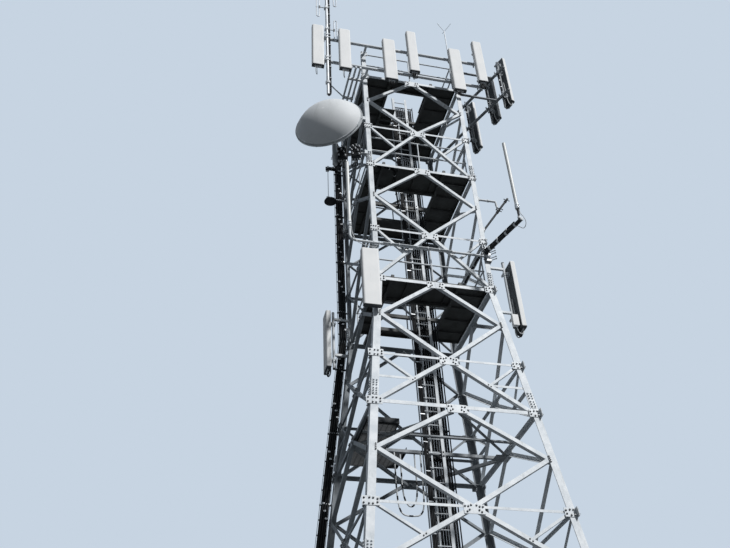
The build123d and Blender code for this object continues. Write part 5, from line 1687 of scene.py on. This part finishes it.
strap = block(-24, 24, -4, 4, -60, 60)
straps_at = [(WHIP_X, FRAME_Y + dy, FRAME_LEVELS[1]) for dy in (-44, 44)]
small.append(placed(strap, about_z(straps_at)))
for angle in (80.0, 200.0, 320.0):
    way = unit((math.cos(math.radians(angle)), math.sin(math.radians(angle)), 1.0))[0]
    tip = np.array([WHIP_X, FRAME_Y, WHIP_TOP]) + way * PRONG
    small.append(lathed([(5, -12), (8, -9), (8, -3), (4, 0)], tip, way, 10))
piece("small_fittings", merged(small), galvanised)
cone = [(150, -88), (158, -80), (150, -58), (70, -20), (30, -14)]
antennas = [
    block(-1716, -1400, 1112, 1141, 17350, 17450, 4.0),
    block(-1690, -1440, 1082, 1112, 17372, 17428, 6.0),
    lathed(cone, (-1600, SMALL_Y, SMALL_ARMS[0] - 6), sides=28),
]
# Painted shade: the small antennas take the near-black paint.
piece("small_antennas", merged(antennas), dark_paint_and_shade)
knob_rows = [(24, 0), (27, 3), (27, 26), (19, 36)]
knobs = lathed(knob_rows, [(-1668, 1082, 17400), (-1545, 1082, 17400)], (0, -1, 0), 14)
piece("small_antenna_knobs", knobs, stainless)
print("pieces:", len(made_pieces), "triangles:", sum(count for _, count in made_pieces))

# %% [markdown]
# ## Studio
# The tower stands on a plain pale floor. The world shows the camera and every mirror a
# pale, even backdrop, while its light on the object is a weaker grey, so the steel
# keeps its shading. One strong key with a soft edge comes from high on the front right,
# as the lit faces in the photograph say, and a weak wide one fills the left. The floor
# looks pale to the camera but is darker to the light, so that it doesn't throw much
# light up under the platforms.

# %% Floor, world and lamps
FLOOR_HALF_M = 60.0
floor_mesh = bpy.data.meshes.new("floor")
corners = FLOOR_HALF_M * np.array([(-1, -1, 0), (1, -1, 0), (1, 1, 0), (-1, 1, 0)]) - (0, 0, 0.001)
floor_mesh.from_pydata(corners.tolist(), [], [(0, 1, 2, 3)])
ground = bpy.data.objects.new("floor", floor_mesh)
bpy.context.scene.collection.objects.link(ground)
paving = weathered(
    "studio_floor", ("DDE1E4", "D6DADD", "CFD3D6"), 3000.0, 40.0, 0.8,
    marks=0.2, stretch=1.0, relief_mm=0.05)
tree = paving.node_tree
shader = next(node for node in tree.nodes if node.type == "BSDF_PRINCIPLED")
camera_sees = add(tree, "LightPath").outputs["Is Camera Ray"]
pale = shader.inputs["Base Color"].links[0].from_socket
floor_mix = {0: camera_sees, 6: linear("55595C"), 7: pale}
mixed = add(tree, "Mix", floor_mix, data_type="RGBA").outputs[2]
tree.links.new(mixed, shader.inputs["Base Color"])
floor_mesh.materials.append(paving)

BACKDROP, AMBIENT, AMBIENT_STRENGTH = linear("C7D4E2"), linear("BFC7D1"), 0.14
world = bpy.data.worlds.new("studio")
bpy.context.scene.world = world
world.use_nodes = True
sky = world.node_tree
sky.nodes.clear()
rays = add(sky, "LightPath").outputs
mirrors = {0: rays["Is Glossy Ray"], 1: rays["Is Transmission Ray"]}
mirror = add(sky, "Math", mirrors, operation="MAXIMUM").outputs[0]
shown = add(sky, "Math", {0: rays["Is Camera Ray"], 1: mirror}, operation="MAXIMUM").outputs[0]
lit = add(sky, "Background", {"Color": AMBIENT, "Strength": AMBIENT_STRENGTH}).outputs[0]
seen = add(sky, "Background", {"Color": BACKDROP, "Strength": 1.0}).outputs[0]
both = add(sky, "MixShader", {0: shown, 1: lit, 2: seen}).outputs[0]
add(sky, "OutputWorld", {"Surface": both})


def far_lamp(name, towards, strength, softness):
    """Sun lamp whose light comes from a direction, with a soft edge in degrees."""
    data = bpy.data.lights.new(name, "SUN")
    data.energy = strength
    data.angle = math.radians(softness)
    lamp = bpy.data.objects.new(name, data)
    lamp.rotation_euler = Vector(towards).to_track_quat("Z", "Y").to_euler()
    bpy.context.scene.collection.objects.link(lamp)


far_lamp("key", (0.55, -0.92, 1.02), 3.45, 4.0)
far_lamp("fill", (-1.0, -0.6, 0.4), 0.1, 40.0)
bpy.context.scene.view_settings.view_transform = "Standard"
print("backdrop", np.round(BACKDROP, 3).tolist())
